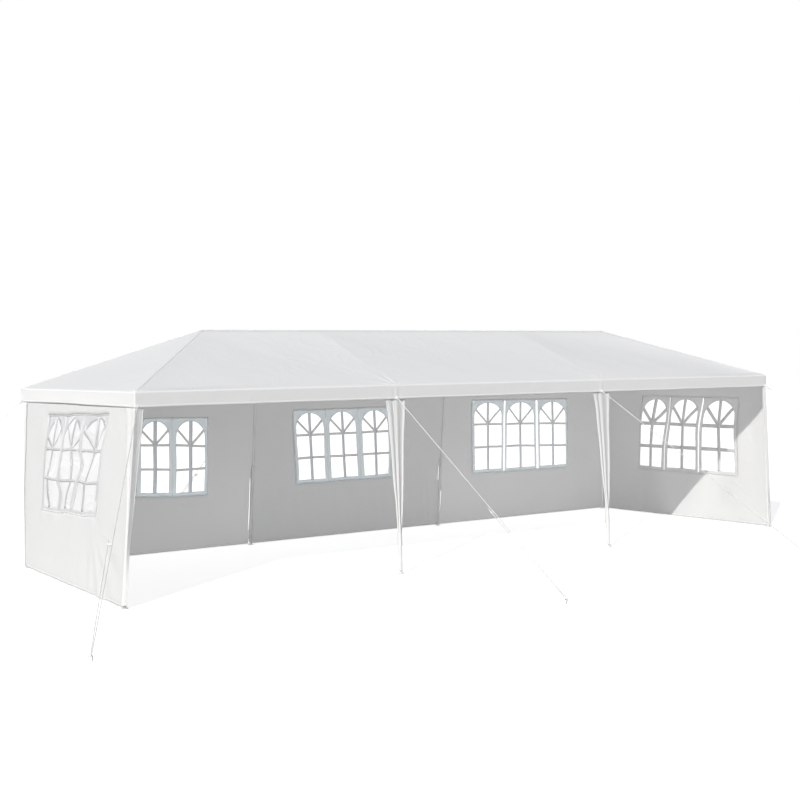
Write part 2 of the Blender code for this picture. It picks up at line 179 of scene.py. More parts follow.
def newObject(name, data, place=(0, 0, 0), travel=None, up="Y"):
    # an object in the scene, and for a lamp the way that its light travels
    piece = bpy.data.objects.new(name, data)
    piece.location = place
    if travel is not None:
        piece.rotation_mode = "QUATERNION"
        piece.rotation_quaternion = Vector(travel).to_track_quat("-Z", up)
    bpy.context.scene.collection.objects.link(piece)
    return piece


def addPiece(name, parts, finish, replaces=(), thickness=0.0, weld=0.0, sharp=None):
    # a finished piece from its parts, riding on the tent's one body
    points, faces, flat = joinParts(parts)
    mesh = bpy.data.meshes.new(name)
    mesh.from_pydata(points.tolist(), [], faces)
    layer = mesh.uv_layers.new(name="flat")
    corner = np.zeros(len(mesh.loops), np.int32)
    mesh.loops.foreach_get("vertex_index", corner)
    layer.data.foreach_set("uv", flat[corner].astype(np.float32).ravel())
    if weld:
        bm = bmesh.new()
        bm.from_mesh(mesh)
        bmesh.ops.remove_doubles(bm, verts=bm.verts, dist=weld)
        bmesh.ops.recalc_face_normals(bm, faces=bm.faces)
        bm.to_mesh(mesh)
        bm.free()
    mesh.shade_smooth()
    if sharp:
        mesh.set_sharp_from_angle(angle=math.radians(sharp))
    mesh.materials.append(finish)
    piece = newObject(name, mesh)
    if thickness:
        shell = piece.modifiers.new("thickness", "SOLIDIFY")
        shell.thickness = thickness
        shell.offset = 0.0
    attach(piece, "root")
    if replaces:
        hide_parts(*replaces)
    return piece


def sweep(path, section, reference, closed=False, scale=None):
    # a flat outline carried along a path: its first axis lies square to the reference direction. An open run is
    # closed at both ends by a fan of triangles
    path = np.asarray(path, float)
    if closed:
        tangent = unit(np.roll(path, -1, axis=0) - np.roll(path, 1, axis=0))
    else:
        tangent = unit(np.gradient(path, axis=0))
    side = unit(np.cross(tangent, np.broadcast_to(np.asarray(reference, float), path.shape)))
    up = np.cross(side, tangent)
    section = np.asarray(section, float)
    if section.ndim == 2:
        section = np.broadcast_to(section, (len(path), *section.shape))
    if scale is not None:
        section = section * np.asarray(scale)[:, None, None]
    points = path[:, None] + side[:, None] * section[..., :1] + up[:, None] * section[..., 1:]
    if closed:
        return gridPart(np.concatenate([points, points[:1]]), wrap=True)
    rows, columns = points.shape[:2]
    first, last, final = rows * columns, rows * columns + 1, (rows - 1) * columns
    faces = gridFaces(rows, columns, wrap=True)
    for i in range(columns):
        j = (i + 1) % columns
        faces += [[first, j, i], [last, final + i, final + j]]
    points = np.concatenate([points.reshape(-1, 3), path[:1], path[-1:]])
    return points, faces, np.zeros((len(points), 2))


def ringTurns(count):
    return np.arange(count) * 2 * math.pi / count


def circle(radius, sides):
    turn = ringTurns(sides)
    return stacked(radius * np.cos(turn), radius * np.sin(turn))


def roundedBar(width, height, corner, steps=3):
    # outline of a bar with rounded corners, counter-clockwise
    turn = np.concatenate([np.linspace(q, q + 1, steps + 1) for q in range(4)]) * math.pi / 2
    quarter = np.repeat([[1, 1], [-1, 1], [-1, -1], [1, -1]], steps + 1, axis=0)
    centre = quarter * [width / 2 - corner, height / 2 - corner]
    return centre + corner * stacked(np.cos(turn), np.sin(turn))


def turned(profile, sides, foot, axis=(0, 0, 1)):
    # a profile of (radius, height) turned about an axis through the foot
    profile, axis = np.asarray(profile, float), unit(axis)
    helper = np.array([1.0, 0, 0]) if abs(axis[0]) < 0.9 else np.array([0, 1.0, 0])
    right = unit(np.cross(helper, axis))
    forward = np.cross(axis, right)
    turn = ringTurns(sides)
    ring = np.cos(turn)[:, None] * right + np.sin(turn)[:, None] * forward
    points = np.asarray(foot) + profile[:, :1, None] * ring + profile[:, 1:, None] * axis
    return gridPart(points, wrap=True)


# Surface effects shared by the materials

def nodeGroup(name, inputs, outputs):
    # an empty group. An input without a value is a vector, one with four numbers a colour, any other a number
    tree = bpy.data.node_groups.new(name, "ShaderNodeTree")
    for label, value in inputs.items():
        kind = "Vector" if value is None else "Color" if isinstance(value, tuple) else "Float"
        socket = tree.interface.new_socket(label, in_out="INPUT", socket_type=f"NodeSocket{kind}")
        if value is not None:
            socket.default_value = value
    for label in outputs:
        kind = "Color" if label == "Color" else "Float"
        tree.interface.new_socket(label, in_out="OUTPUT", socket_type=f"NodeSocket{kind}")
    return tree, tree.nodes.new("NodeGroupInput").outputs, tree.nodes.new("NodeGroupOutput").inputs


def addNode(tree, kind, inputs=None, **settings):
    # a node with its settings, its input values and its links made at once
    node = tree.nodes.new(f"ShaderNode{kind}")
    for key, value in settings.items():
        setattr(node, key, value)
    for key, value in (inputs or {}).items():
        if isinstance(value, bpy.types.NodeSocket):
            tree.links.new(value, node.inputs[key])
        else:
            node.inputs[key].default_value = value
    return node


def useGroup(tree, group, inputs):
    return addNode(tree, "Group", inputs, node_tree=group).outputs


def math2(tree, operation, a, b=0.0, clamp=False):
    return addNode(tree, "Math", {0: a, 1: b}, operation=operation, use_clamp=clamp).outputs[0]


def noise(tree, vector, scale, detail=2.0, roughness=0.5, distortion=0.0):
    return addNode(tree, "TexNoise", {"Vector": vector, "Scale": scale, "Detail": detail, "Roughness": roughness,
                                      "Distortion": distortion}).outputs["Fac"]


def remap(tree, value, low, high, start=0.0, end=1.0):
    # carries the value's run from start to end over to the run from low to high
    return addNode(tree, "MapRange", {"Value": value, "From Min": start, "From Max": end, "To Min": low,
                                      "To Max": high}).outputs[0]


def mixed(tree, share, first, second):
    return addNode(tree, "Mix", {0: share, 6: first, 7: second}, data_type="RGBA").outputs[2]


def scaledUp(tree, vector, scale):
    # the places multiplied, as one vector and as its three numbers
    grown = addNode(tree, "VectorMath", {0: vector, "Scale": scale}, operation="SCALE").outputs[0]
    return grown, addNode(tree, "SeparateXYZ", {0: grown}).outputs


def makeWeave():
    # flat tapes woven over and under: two sets of bands, each on top in turn on a checkered ground
    tree, given, out = nodeGroup("tapeWeave", {"Vector": None, "Tapes": 600.0}, ["Height"])
    grown, split = scaledUp(tree, given["Vector"], given["Tapes"])
    bands = []
    for axis in ("X", "Y"):
        wave = math2(tree, "SINE", math2(tree, "MULTIPLY", split[axis], math.pi))
        bands.append(math2(tree, "POWER", math2(tree, "ABSOLUTE", wave), 0.5))
    over = addNode(tree, "TexChecker", {"Vector": grown, "Scale": 1.0, "Color1": (1, 1, 1, 1),
                                        "Color2": (0, 0, 0, 1)}).outputs["Fac"]
    warp = math2(tree, "MULTIPLY", bands[0], over)
    weft = math2(tree, "MULTIPLY", bands[1], math2(tree, "SUBTRACT", 1.0, over))
    tree.links.new(math2(tree, "ADD", warp, weft), out["Height"])
    return tree


def makeCreases():
    # soft creases left by folding: warped noise turned into ridges, over a slower swell
    tree, given, out = nodeGroup("softCreases", {"Vector": None, "Scale": 2.0, "Swell": 0.5}, ["Height"])
    fine = noise(tree, given["Vector"], given["Scale"], 3.0, distortion=0.8)
    offMiddle = math2(tree, "ABSOLUTE", math2(tree, "SUBTRACT", fine, 0.5))
    ridge = math2(tree, "SUBTRACT", 1.0, math2(tree, "MULTIPLY", offMiddle, 6.0), clamp=True)
    slow = noise(tree, given["Vector"], math2(tree, "MULTIPLY", given["Scale"], 0.4), 1.0)
    swell = math2(tree, "MULTIPLY", slow, given["Swell"])
    tree.links.new(math2(tree, "ADD", math2(tree, "POWER", ridge, 2.0), swell), out["Height"])
    return tree


def makeTint():
    # a colour with slow cloudy variation, and a slightly darker skirt near the ground
    tree, given, out = nodeGroup("cloudyTint", {
        "Vector": None, "Color": (0.9, 0.9, 0.9, 1), "Shade": (0.8, 0.8, 0.8, 1), "Scale": 1.2, "Amount": 0.15,
        "Ground": 0.2}, ["Color", "Mask"])
    cloud = noise(tree, given["Vector"], given["Scale"], 4.0, 0.6)
    height = addNode(tree, "SeparateXYZ", {0: addNode(tree, "TexCoord").outputs["Object"]}).outputs["Z"]
    low = math2(tree, "MULTIPLY", remap(tree, height, 1.0, 0.0, 0.0, 0.16), cloud)
    skirt = math2(tree, "MULTIPLY", low, given["Ground"])
    mask = math2(tree, "ADD", math2(tree, "MULTIPLY", cloud, given["Amount"]), skirt, clamp=True)
    tree.links.new(mixed(tree, mask, given["Color"], given["Shade"]), out["Color"])
    tree.links.new(mask, out["Mask"])
    return tree


def makeBraid():
    # the plaited skin of a cord: slanting strands that cross, from the cord's own unrolled places
    tree, given, out = nodeGroup("cordBraid", {"Vector": None, "Strands": 400.0}, ["Height"])
    split = scaledUp(tree, given["Vector"], given["Strands"])[1]
    slants = [math2(tree, "SINE", math2(tree, sign, split["X"], split["Y"])) for sign in ("ADD", "SUBTRACT")]
    tree.links.new(math2(tree, "MAXIMUM", *slants), out["Height"])
    return tree


def makeFlecks():
    # small specks and scuffs: sharp noise that fades in and out over a slower one
    tree, given, out = nodeGroup("scuffMarks", {"Vector": None, "Scale": 60.0, "Amount": 0.3}, ["Mask"])
    sharp = noise(tree, given["Vector"], given["Scale"], 5.0, 0.7)
    faded = math2(tree, "MULTIPLY", remap(tree, sharp, 0.0, 1.0, 0.56, 0.70), noise(tree, given["Vector"], 3.0))
    tree.links.new(math2(tree, "MULTIPLY", faded, given["Amount"], clamp=True), out["Mask"])
    return tree


tapeWeave, softCreases, cloudyTint = makeWeave(), makeCreases(), makeTint()
cordBraid, scuffMarks = makeBraid(), makeFlecks()


# Finishes. Each look starts with its colour, the shade of its clouds, their scale and strength, and how much
# darker it is near the ground

def lookOf(values, *more):
    return dict(zip(("color", "shade", "cloud", "amount", "ground", *more), values))


def startFinish(name, sockets):
    finish = bpy.data.materials.new(name)
    finish.use_nodes = True
    shader = finish.node_tree.nodes["Principled BSDF"]
    for label, value in sockets.items():
        shader.inputs[label].default_value = value
    return finish, finish.node_tree, shader.inputs


def placesOf(tree):
    # what a finish is laid on: the place in the tent and the place on the flat cloth
    return (addNode(tree, "TexCoord").outputs["Object"], addNode(tree, "UVMap", uv_map="flat").outputs["UV"])


def addBump(tree, height, distance, strength, target, below=None):
    bump = addNode(tree, "Bump", {"Height": height, "Distance": distance, "Strength": strength})
    if below is not None:
        tree.links.new(below, bump.inputs["Normal"])
    if target is not None:
        tree.links.new(bump.outputs["Normal"], target)
    return bump.outputs["Normal"]


def tintInto(tree, sockets, vector, look):
    tint = useGroup(tree, cloudyTint, {"Vector": vector, "Color": (*look["color"], 1), "Shade": (*look["shade"], 1),
                                       "Scale": look["cloud"], "Amount": look["amount"], "Ground": look["ground"]})
    tree.links.new(tint["Color"], sockets["Base Color"])
    return tint["Mask"]


clothLooks = {      # and roughness, woven tapes to a metre, and the scale and depth of its creases
    "roof_cloth": ((0.935, 0.935, 0.93), (0.87, 0.875, 0.875), 0.9, 0.35, 0.0, 0.58, 700.0, 2.2, 0.0022),
    # the valance and the hems on it are the roof's own cloth made darker: painted shade of the hanging cloth
    "valance_cloth": ((0.87, 0.865, 0.855), (0.82, 0.82, 0.81), 0.9, 0.35, 0.0, 0.58, 700.0, 2.2, 0.0022),
    "seam_cloth": ((0.87, 0.868, 0.86), (0.80, 0.80, 0.795), 3.0, 0.4, 0.0, 0.55, 700.0, 9.0, 0.0010),
    "wall_cloth": ((0.795, 0.795, 0.785), (0.73, 0.73, 0.715), 1.1, 0.30, 0.35, 0.62, 650.0, 2.6, 0.0030),
    "drape_cloth": ((0.845, 0.84, 0.83), (0.765, 0.765, 0.755), 3.0, 0.35, 0.35, 0.60, 650.0, 6.0, 0.0020),
    # the tapes' dark grey is painted shadow of the fold at a window panel's top seam, darkest on the sunlit outside
    "outer_tape": ((0.46, 0.46, 0.45), (0.38, 0.38, 0.37), 8.0, 0.5, 0.0, 0.7, 900.0, 12.0, 0.0006),
    "inner_tape": ((0.63, 0.63, 0.61), (0.55, 0.55, 0.53), 8.0, 0.5, 0.0, 0.7, 900.0, 12.0, 0.0006),
    "web_cloth": ((0.83, 0.83, 0.81), (0.72, 0.72, 0.70), 12.0, 0.5, 0.2, 0.72, 1100.0, 15.0, 0.0004),
}


def clothFinish(name, values):
    # coated cloth: cloudy colour, woven tapes on the flat sheet, and creases from folding
    look = lookOf(values, "roughness", "tapes", "creases", "creaseDepth")
    finish, tree, sockets = startFinish(name, {"Roughness": look["roughness"], "Specular IOR Level": 0.35,
                                               "Sheen Weight": 0.08, "Sheen Roughness": 0.5})
    place, flat = placesOf(tree)
    mask = tintInto(tree, sockets, place, look)
    weave = useGroup(tree, tapeWeave, {"Vector": flat, "Tapes": look["tapes"]})
    crease = useGroup(tree, softCreases, {"Vector": flat, "Scale": look["creases"], "Swell": 0.6})
    tree.links.new(remap(tree, mask, look["roughness"], look["roughness"] + 0.12), sockets["Roughness"])
    low = addBump(tree, crease["Height"], look["creaseDepth"], 0.6, None)
    addBump(tree, weave["Height"], 0.0001, 0.2, sockets["Normal"], low)
    return finish


filmLooks = {       # colour, share of what is behind that it hides, roughness, and how cloudy that share is
    "clear_film": ((0.97, 0.98, 0.99), 0.05, 0.14, 0.03),
    "hazy_film": ((0.99, 0.99, 0.99), 0.86, 0.30, 0.04),
    "print_film": ((0.78, 0.84, 0.86), 0.70, 0.32, 0.04),
    # the left end's copies of the print are greyer and all but opaque: painted shade of the dark tent behind them
    "outer_print": ((0.73, 0.735, 0.74), 0.95, 0.36, 0.04),
    "upright_print": ((0.715, 0.75, 0.785), 0.90, 0.36, 0.03),
    "cross_print": ((0.78, 0.77, 0.735), 0.88, 0.36, 0.03),
    "outer_upright": ((0.61, 0.62, 0.63), 0.95, 0.40, 0.03),
    "outer_cross": ((0.69, 0.69, 0.68), 0.93, 0.40, 0.03),
    "end_print": ((0.79, 0.79, 0.78), 0.93, 0.36, 0.03),
    "end_bar": ((0.715, 0.71, 0.69), 0.96, 0.36, 0.02),
}


def filmFinish(name, color, hides, rough, cloud):
    # soft plastic film: see-through, a little hazy in clouds, with the creases of its folding
    finish, tree, sockets = startFinish(name, {"Base Color": (*color, 1), "Roughness": rough, "IOR": 1.5})
    place, flat = placesOf(tree)
    haze = remap(tree, noise(tree, place, 2.5, 4.0), hides - cloud, hides + cloud)
    tree.links.new(haze, sockets["Alpha"])
    crease = useGroup(tree, softCreases, {"Vector": flat, "Scale": 3.0, "Swell": 0.8})
    addBump(tree, crease["Height"], 0.004, 0.7, sockets["Normal"])
    return finish


steelLooks = {      # and roughness, metal and clear coat
    "coated_steel_skin": ((0.84, 0.84, 0.83), (0.74, 0.74, 0.72), 5.0, 0.25, 0.3, 0.36, 0.0, 0.25),
    "zinc_steel": ((0.80, 0.805, 0.81), (0.68, 0.68, 0.69), 40.0, 0.6, 0.2, 0.34, 0.9, 0.0),
    "slider_plastic": ((0.86, 0.86, 0.84), (0.78, 0.78, 0.76), 30.0, 0.3, 0.2, 0.40, 0.0, 0.1),
}


def steelFinish(name, values):
    # coated or plated steel: orange-peel skin, scuffs that dull the gloss
    look = lookOf(values, "roughness", "metallic", "coat")
    finish, tree, sockets = startFinish(name, {"Roughness": look["roughness"], "Metallic": look["metallic"],
                                               "Coat Weight": look["coat"], "Coat Roughness": 0.25})
    place = addNode(tree, "TexCoord").outputs["Object"]
    tintInto(tree, sockets, place, look)
    scuff = useGroup(tree, scuffMarks, {"Vector": place, "Scale": 70.0, "Amount": 0.5})
    tree.links.new(remap(tree, scuff["Mask"], look["roughness"], look["roughness"] + 0.25), sockets["Roughness"])
    addBump(tree, noise(tree, place, 900.0), 0.00008, 0.4, sockets["Normal"])
    return finish


cordLook = lookOf(((0.80, 0.79, 0.77), (0.70, 0.69, 0.67), 14.0, 0.5, 0.3))


def cordFinish(name):
    # matt cord with a plaited skin
    finish, tree, sockets = startFinish(name, {"Roughness": 0.72, "Sheen Weight": 0.2})
    place, flat = placesOf(tree)
    tintInto(tree, sockets, place, cordLook)
    braid = useGroup(tree, cordBraid, {"Vector": flat, "Strands": 3000.0})
    addBump(tree, braid["Height"], 0.0003, 0.6, sockets["Normal"])
    return finish


cloth = {name: clothFinish(name, values) for name, values in clothLooks.items()}
film = {name: filmFinish(name, *values) for name, values in filmLooks.items()}
steel = {name: steelFinish(name, values) for name, values in steelLooks.items()}
ropeCord = cordFinish("rope_cord_skin")
print("finishes made")


# Cover: one continuous sheet of four slopes and four valances

cover = {
    "columns": 80,          # for each bay
    "crowding": 0.6,        # how much closer the columns stand at the legs
    "sheetDrop": 0.001,     # of the sheet's middle under the slopes of the frame
    "sheetIn": 0.0015,      # of the valance's middle inside its outer face
    "foldRadius": 0.011,    # rounding of the eave
    "sag": (0.030, 0.024, 0.031),       # of the front and back slopes in each bay
    "endSag": 0.022,
    "unevenness": 0.0022,
    "legPucker": 0.0075,    # height of the small folds that run out from each leg top
    "puckerReach": 0.26,
    "puckerFolds": (9, 14),     # of their two waves, over the angle in radians
    "frontLeftReach": 1.25,     # how much further they run at the front middle left leg
    "rippleHeight": 0.004, "rippleAt": (-2.9, 0.10), "rippleSpread": 0.10,      # at this x and distance from the eave
    "valanceWave": 0.0055,
    "legCrease": 0.0085,    # how far the rope draws the valance out at each leg
    "hipHollow": 0.018, "hollowReach": 0.40,      # the sheet's dip beside each hip, and how far off it is deepest
    "leftBillow": 0.010,    # how far the left valance's lower edge stands out at its middle
    "leftLift": 0.010,      # and how far it is drawn up there
    "valanceSeeds": {"front": 21, "back": 22, "left": 23, "right": 24},
    "thickness": 0.0012,
    "flatShift": {"front": 0, "back": 20, "left": 40, "right": 60},     # so that no two sides share their weave
}


def alongBay(count):
    # places along one bay: even steps drawn together at both ends by a sine
    t = np.linspace(0, 1, count + 1)
    return bay * (t - cover["crowding"] * np.sin(2 * math.pi * t) / (2 * math.pi))


def eaveDrop(d):
    # rounding of the eave: how far a quarter circle lies below the slope at a distance inside the edge
    inside = np.clip(1 - (d - cover["sheetIn"]) / cover["foldRadius"], 0, 1)
    return cover["foldRadius"] * (1 - np.sqrt(1 - inside ** 2))


def legPucker(x, y):
    # folds that fan out from each leg top: waves over the angle, dying away with the distance
    total, (first, second) = 0, cover["puckerFolds"]
    for number, legX in enumerate((-halfLength, -bay / 2, bay / 2, halfLength)):
        for side in (-1, 1):
            away = np.hypot(x - legX, y - side * halfDepth)
            angle = np.arctan2(side * halfDepth - y, x - legX)
            reach = cover["puckerReach"] * (cover["frontLeftReach"] if (number, side) == (1, -1) else 1.0)
            fan = np.sin(first * angle + number + side) + 0.6 * np.sin(second * angle + 2.1 * number)
            fade = np.exp(-away / (0.42 * reach)) * smoothStep(away / 0.05) * smoothStep(2 - away / reach)
            total = total + fan * fade
    return cover["legPucker"] * total


def roofMiddle(x, y):
    # height of the roof sheet's middle over its plan: a steady rise from the nearest eave, less the sag between the
    # tubes (a parabola along the eave, deepest two thirds of the way up), a dip beside each hip (a run times its
    # dying away), the eave's rounding, small unevenness, and one little ripple near the left of the front eave
    fromFront = halfDepth - np.abs(y)
    fromEnd = halfLength - np.abs(x)
    d = np.minimum(fromFront, fromEnd)
    up = np.clip(d / halfDepth, 0, 1)
    atEnd = fromEnd < fromFront
    middleBay = np.abs(x) <= bay / 2
    cornerRun = (fromEnd - d) / np.maximum(bay - d, 0.05)
    acrossBay = np.where(middleBay, x / bay + 0.5, np.clip(cornerRun, 0, 1))
    acrossEnd = np.clip(0.5 + y / np.maximum(2 * (halfDepth - d), 0.05), 0, 1)
    across = np.where(atEnd, acrossEnd, acrossBay)
    bayNumber = np.where(x < -bay / 2, 0, np.where(x > bay / 2, 2, 1))
    depth = np.where(atEnd, cover["endSag"] * (1 - up), np.asarray(cover["sag"])[bayNumber])
    slack = 4 * across * (1 - across) * 6.75 * up ** 2 * (1 - up)
    rough = softNoise(x, y, 11, 0.55) * cover["unevenness"] * np.sqrt(np.clip(slack, 0, 1)) * 1.6
    aside, inside = x - cover["rippleAt"][0], y + halfDepth - cover["rippleAt"][1]
    fade = np.exp(-(aside / cover["rippleSpread"]) ** 2 - (inside / cover["rippleSpread"]) ** 2)
    ripple = cover["rippleHeight"] * np.sin(60 * aside) * fade
    fromHip = np.where(atEnd, 0, fromEnd - d) / cover["hollowReach"]
    hollow = cover["hipHollow"] * fromHip * np.exp(1 - fromHip) * smoothStep(d / 0.12) * (1 - up)
    height = eaveHeight + roofTan * d - cover["sheetDrop"] - eaveDrop(d)
    return height - depth * slack - hollow + rough + legPucker(x, y) + ripple


def valanceOut(along, down, seed, legs, ends):
    # how far the valance hangs out from its plane: slow waves that grow downwards, and a crease at each leg
    waves = 0.5 + 0.5 * softNoise(along, down * 0.3, seed, 0.62, 5)
    out = cover["valanceWave"] * waves * down ** 1.3
    for legAt in legs:
        near = np.abs(along - legAt)
        crease = np.exp(-(near / 0.016) ** 2) + 0.35 * np.exp(-((near - 0.075) / 0.03) ** 2)
        out = out * (1 - 0.5 * np.exp(-(near / 0.05) ** 2)) + cover["legCrease"] * crease * (0.15 + 0.85 * down)
    return out * smoothStep((ends - np.abs(along)) / 0.10)


def sideOf(side):
    # a side's sign, how far out it stands, half of its length, and the places of its columns
    if side in ("front", "back"):
        return (-1 if side == "front" else 1), halfDepth, halfLength, longPlaces
    return (-1 if side == "left" else 1), halfLength, halfDepth, endPlaces


def planOf(side, run, level):
    # x and y, from a run along a side and a level across it
    return (run, level) if side in ("front", "back") else (level, run)


def valancePoint(side, along, down, proud=0.0):
    # a place on the valance of one side: along it, and down from 0 at the eave to 1 at the lower edge. It hangs
    # straight down but for its waves, and the left one's lower edge stands out and up in an arch
    sign, outward, ends, _ = sideOf(side)
    legs = (-bay / 2, bay / 2) if side in ("front", "back") else ()
    seed = cover["valanceSeeds"][side]
    flat = sign * (outward - cover["sheetIn"])
    across = flat + sign * (valanceOut(along, down, seed, legs, ends) + proud)
    edge = np.clip(along, -(ends - cover["sheetIn"]) - proud, ends - cover["sheetIn"] + proud)
    top = roofMiddle(*planOf(side, edge, flat + 0 * along))
    wander = 0.0025 * softNoise(along, along * 0, seed + 9, 0.8, 4) * down * smoothStep((ends - np.abs(along)) / 0.2)
    z = top + (valanceFoot - top) * down + wander
    if side == "left":
        arch = np.cos(along / ends * math.pi / 2) * down ** 2
        across, z = across - cover["leftBillow"] * arch, z + cover["leftLift"] * arch
    return stacked(*planOf(side, edge, across), z)


bayPlaces = alongBay(cover["columns"])
longPlaces = np.concatenate([bayPlaces, bay + bayPlaces[1:], 2 * bay + bayPlaces[1:]]) - halfLength
endPlaces = bayPlaces - halfDepth
downRows = np.linspace(1, 0, 13)[:-1]
foldTurn = np.linspace(0, 1, 6)
foldRows = cover["sheetIn"] + cover["foldRadius"] * (1 - np.cos(foldTurn * math.pi / 2))
pastFold = (bayPlaces > foldRows[-1] + 0.003) & (bayPlaces <= halfDepth + 1e-6)
slopeRows = np.concatenate([foldRows, bayPlaces[pastFold]])


def coverSide(side):
    # one slope with its valance: columns along the eave, rows up the valance and on to the ridge or hip
    sign, outward, ends, places = sideOf(side)
    edge = np.clip(places, -ends + cover["sheetIn"], ends - cover["sheetIn"])
    most = np.minimum(ends - np.abs(edge), halfDepth)
    along, down = np.meshgrid(places, downRows)
    d = np.minimum(slopeRows[:, None], most[None, :])
    x, y = planOf(side, np.broadcast_to(edge[None, :], d.shape), sign * (outward - d))
    points = np.concatenate([valancePoint(side, along, down), stacked(x, y, roofMiddle(x, y))])
    reach = np.concatenate([-down * (eaveHeight - valanceFoot), d / roofCos])
    part, faces, flat = gridPart(points, stacked(places[None, :], reach) + cover["flatShift"][side])
    if side in ("back", "left"):
        faces = [face[::-1] for face in faces]
    return part, faces, flat


coverSheet = addPiece("cover", [coverSide(side) for side in cover["flatShift"]], cloth["roof_cloth"],
                      thickness=cover["thickness"], weld=0.00005,
                      replaces=("roof_front_slope", "roof_back_slope", "roof_left_hip_end", "roof_right_hip_end",
                                "valance_front", "valance_back", "valance_left_end", "valance_right_end"))
# the faces that hang below the eave take the darker copy of the roof cloth: painted shade
coverSheet.data.materials.append(cloth["valance_cloth"])
faceCentres = np.zeros(3 * len(coverSheet.data.polygons), np.float32)
coverSheet.data.polygons.foreach_get("center", faceCentres)
hanging = faceCentres.reshape(-1, 3)[:, 2] < eaveHeight - 0.010
coverSheet.data.polygons.foreach_set("material_index", hanging.astype(np.int32))


# Seams of the cover: hems, and doubled strips down the hips and along the ridge

seams = {"hemHeight": 0.026, "hemProud": 0.0006, "stripWidth": 0.028, "proud": 0.0009, "thickness": 0.0005}


def valanceHem(side):
    # a strip along the valance's lower edge, lying just proud of it
    drop = eaveHeight - valanceFoot
    along, down = np.meshgrid(sideOf(side)[3], 1 - np.linspace(0, seams["hemHeight"], 3) / drop)
    return gridPart(valancePoint(side, along, down, seams["hemProud"]), stacked(along, down * drop))


def liftedStrip(x, y, flat):
    # a strip that lies just proud of the roof
    return gridPart(stacked(x, y, roofMiddle(x, y) + seams["proud"]), flat)


def hipStrip(signX, signY):
    # a doubled strip along one hip: a band to both sides of the hip line, lifted off the sheet
    run = np.concatenate([np.linspace(0.004, 0.2, 14), np.linspace(0.24, halfDepth - 0.004, 36)])
    across = np.linspace(-1, 1, 5) * seams["stripWidth"] / 2
    d = run[:, None]
    x = halfLength - d - np.where(across > 0, across, 0)[None, :] * math.sqrt(2)
    y = halfDepth - d - np.where(across < 0, -across, 0)[None, :] * math.sqrt(2)
    x, y = signX * np.clip(x, 0, halfLength - 0.002), signY * np.clip(y, 0, halfDepth - 0.002)
    return liftedStrip(x, y, stacked(d * 1.5, across[None, :]))


def ridgeStrip():
    # a doubled strip folded over the ridge
    across = np.linspace(-1, 1, 7) * seams["stripWidth"] / 2
    y, x = np.meshgrid(across, np.linspace(halfDepth - halfLength, halfLength - halfDepth, 121))
    return liftedStrip(x, y, stacked(x, y))


hems = [valanceHem(side) for side in cover["flatShift"]]
strips = [hipStrip(sx, sy) for sx in (-1, 1) for sy in (-1, 1)] + [ridgeStrip()]
# the hems lie on the valance's lower edge and take its darker tone, painted shade
coverHems = addPiece("cover_hems", hems, cloth["seam_cloth"], thickness=seams["thickness"])
coverStrips = addPiece("cover_strips", strips, cloth["roof_cloth"], thickness=seams["thickness"])
print("cover stretched over the frame")


# Walls: five hung sheets, each with a printed window panel sewn in

walls = {
    "step": 0.045,          # between the grid lines of a sheet
    "stripStep": 0.03,      # and along a printed bar
    "layers": {             # how far each print and the film lie off the middle of the sheet, inwards
        "print": -0.0022, "upright": -0.0014, "slanted": -0.0013, "cross": -0.0012, "film": -0.0034},
    "barPast": {"sill": 0.01, "top": 0.006, "side": 0.008},     # how far the bars run on under the print
    "filmInset": 0.006,     # of the film's edge inside the print's
    "thickness": 0.0011,
    "panelSide": 0.045,     # printed border round the lights
    "panelBelow": 0.050,
    "panelAbove": 0.044,
    "overlap": 0.012,       # of the panel under the edge of its opening
    "archShare": 0.22,      # of each light's height
    "barWidths": {          # of the upright and of the cross and slanted bars
        "left_end": (0.046, 0.029), "right_end": (0.055, 0.048), "back_left": (0.048, 0.029),
        "back_middle": (0.040, 0.030), "back_right": (0.040, 0.029)},
    "leanReach": 0.45,      # how far into a back panel the lean of its side edge is felt
    # where a back panel stands off its leg between the ties: width, lower and upper end of each slit
    "slits": {("back_left", "far"): [(0.032, 0.14, 0.99), (0.026, -0.10, 0.11)],
              ("back_middle", "far"): [(0.032, 0.58, 0.94)],
              ("back_right", "near"): [(0.036, 0.14, 0.53)]},
    "hangerSpacing": 0.58, "hangerWidth": 0.018, "hangerRadius": 0.0140,
    "side": 14, "arch": 33, "sill": 11,     # places on a light's outline: up each side, over the arch, on the sill
    "lap": 0.004,           # of a seam over the edge that it holds
    "seam": 0.016,          # how far a seam reaches over the sheet round the panel
    "footHem": 0.030, "topHem": 0.034, "sideHem": 0.022,
    "hemLayers": (0.0010, -0.0011),     # of the hems, outside and inside, and a third further at the sides
    "tapeLayers": (0.0018, -0.0032),
    "ties": {"middle_left": (0.125, 1.00, 1.42, 1.80), "middle_right": (0.125, 0.55, 0.96, 1.42, 1.80)},
    "endRun": (-1.4904, 1.4901),        # of an end wall, from its front edge to its back edge
    "outerIn": 0.0066,      # of the back wall's two ends inside the cover
    "halfGap": 0.003,       # half of the gap between two back panels
}
outer, legLow, legHigh = halfLength - walls["outerIn"], bay / 2 - walls["halfGap"], bay / 2 + walls["halfGap"]
wallRuns = {
    "left_end": walls["endRun"], "right_end": walls["endRun"],
    "back_left": (-outer, -legHigh), "back_middle": (-legLow, legLow), "back_right": (legHigh, outer),
}


def evenCentres(rows):
    # six light edges for each level, with the middle of each light put in between
    return np.array([[a, (a + b) / 2, b, c, (c + d) / 2, d, e, (e + f) / 2, f] for a, b, c, d, e, f in rows])


def windowOf(levels, lines, wobble, **more):
    # a window's facts, with those that most windows share
    return {"levels": levels, "marks": levels, "lines": lines, "wobble": wobble, "flatRow": 2, "liftAt": (),
            "lifts": (), "clear": (0.0, 0.0), "tilt": 0.0, "pinch": 1.0, **more}


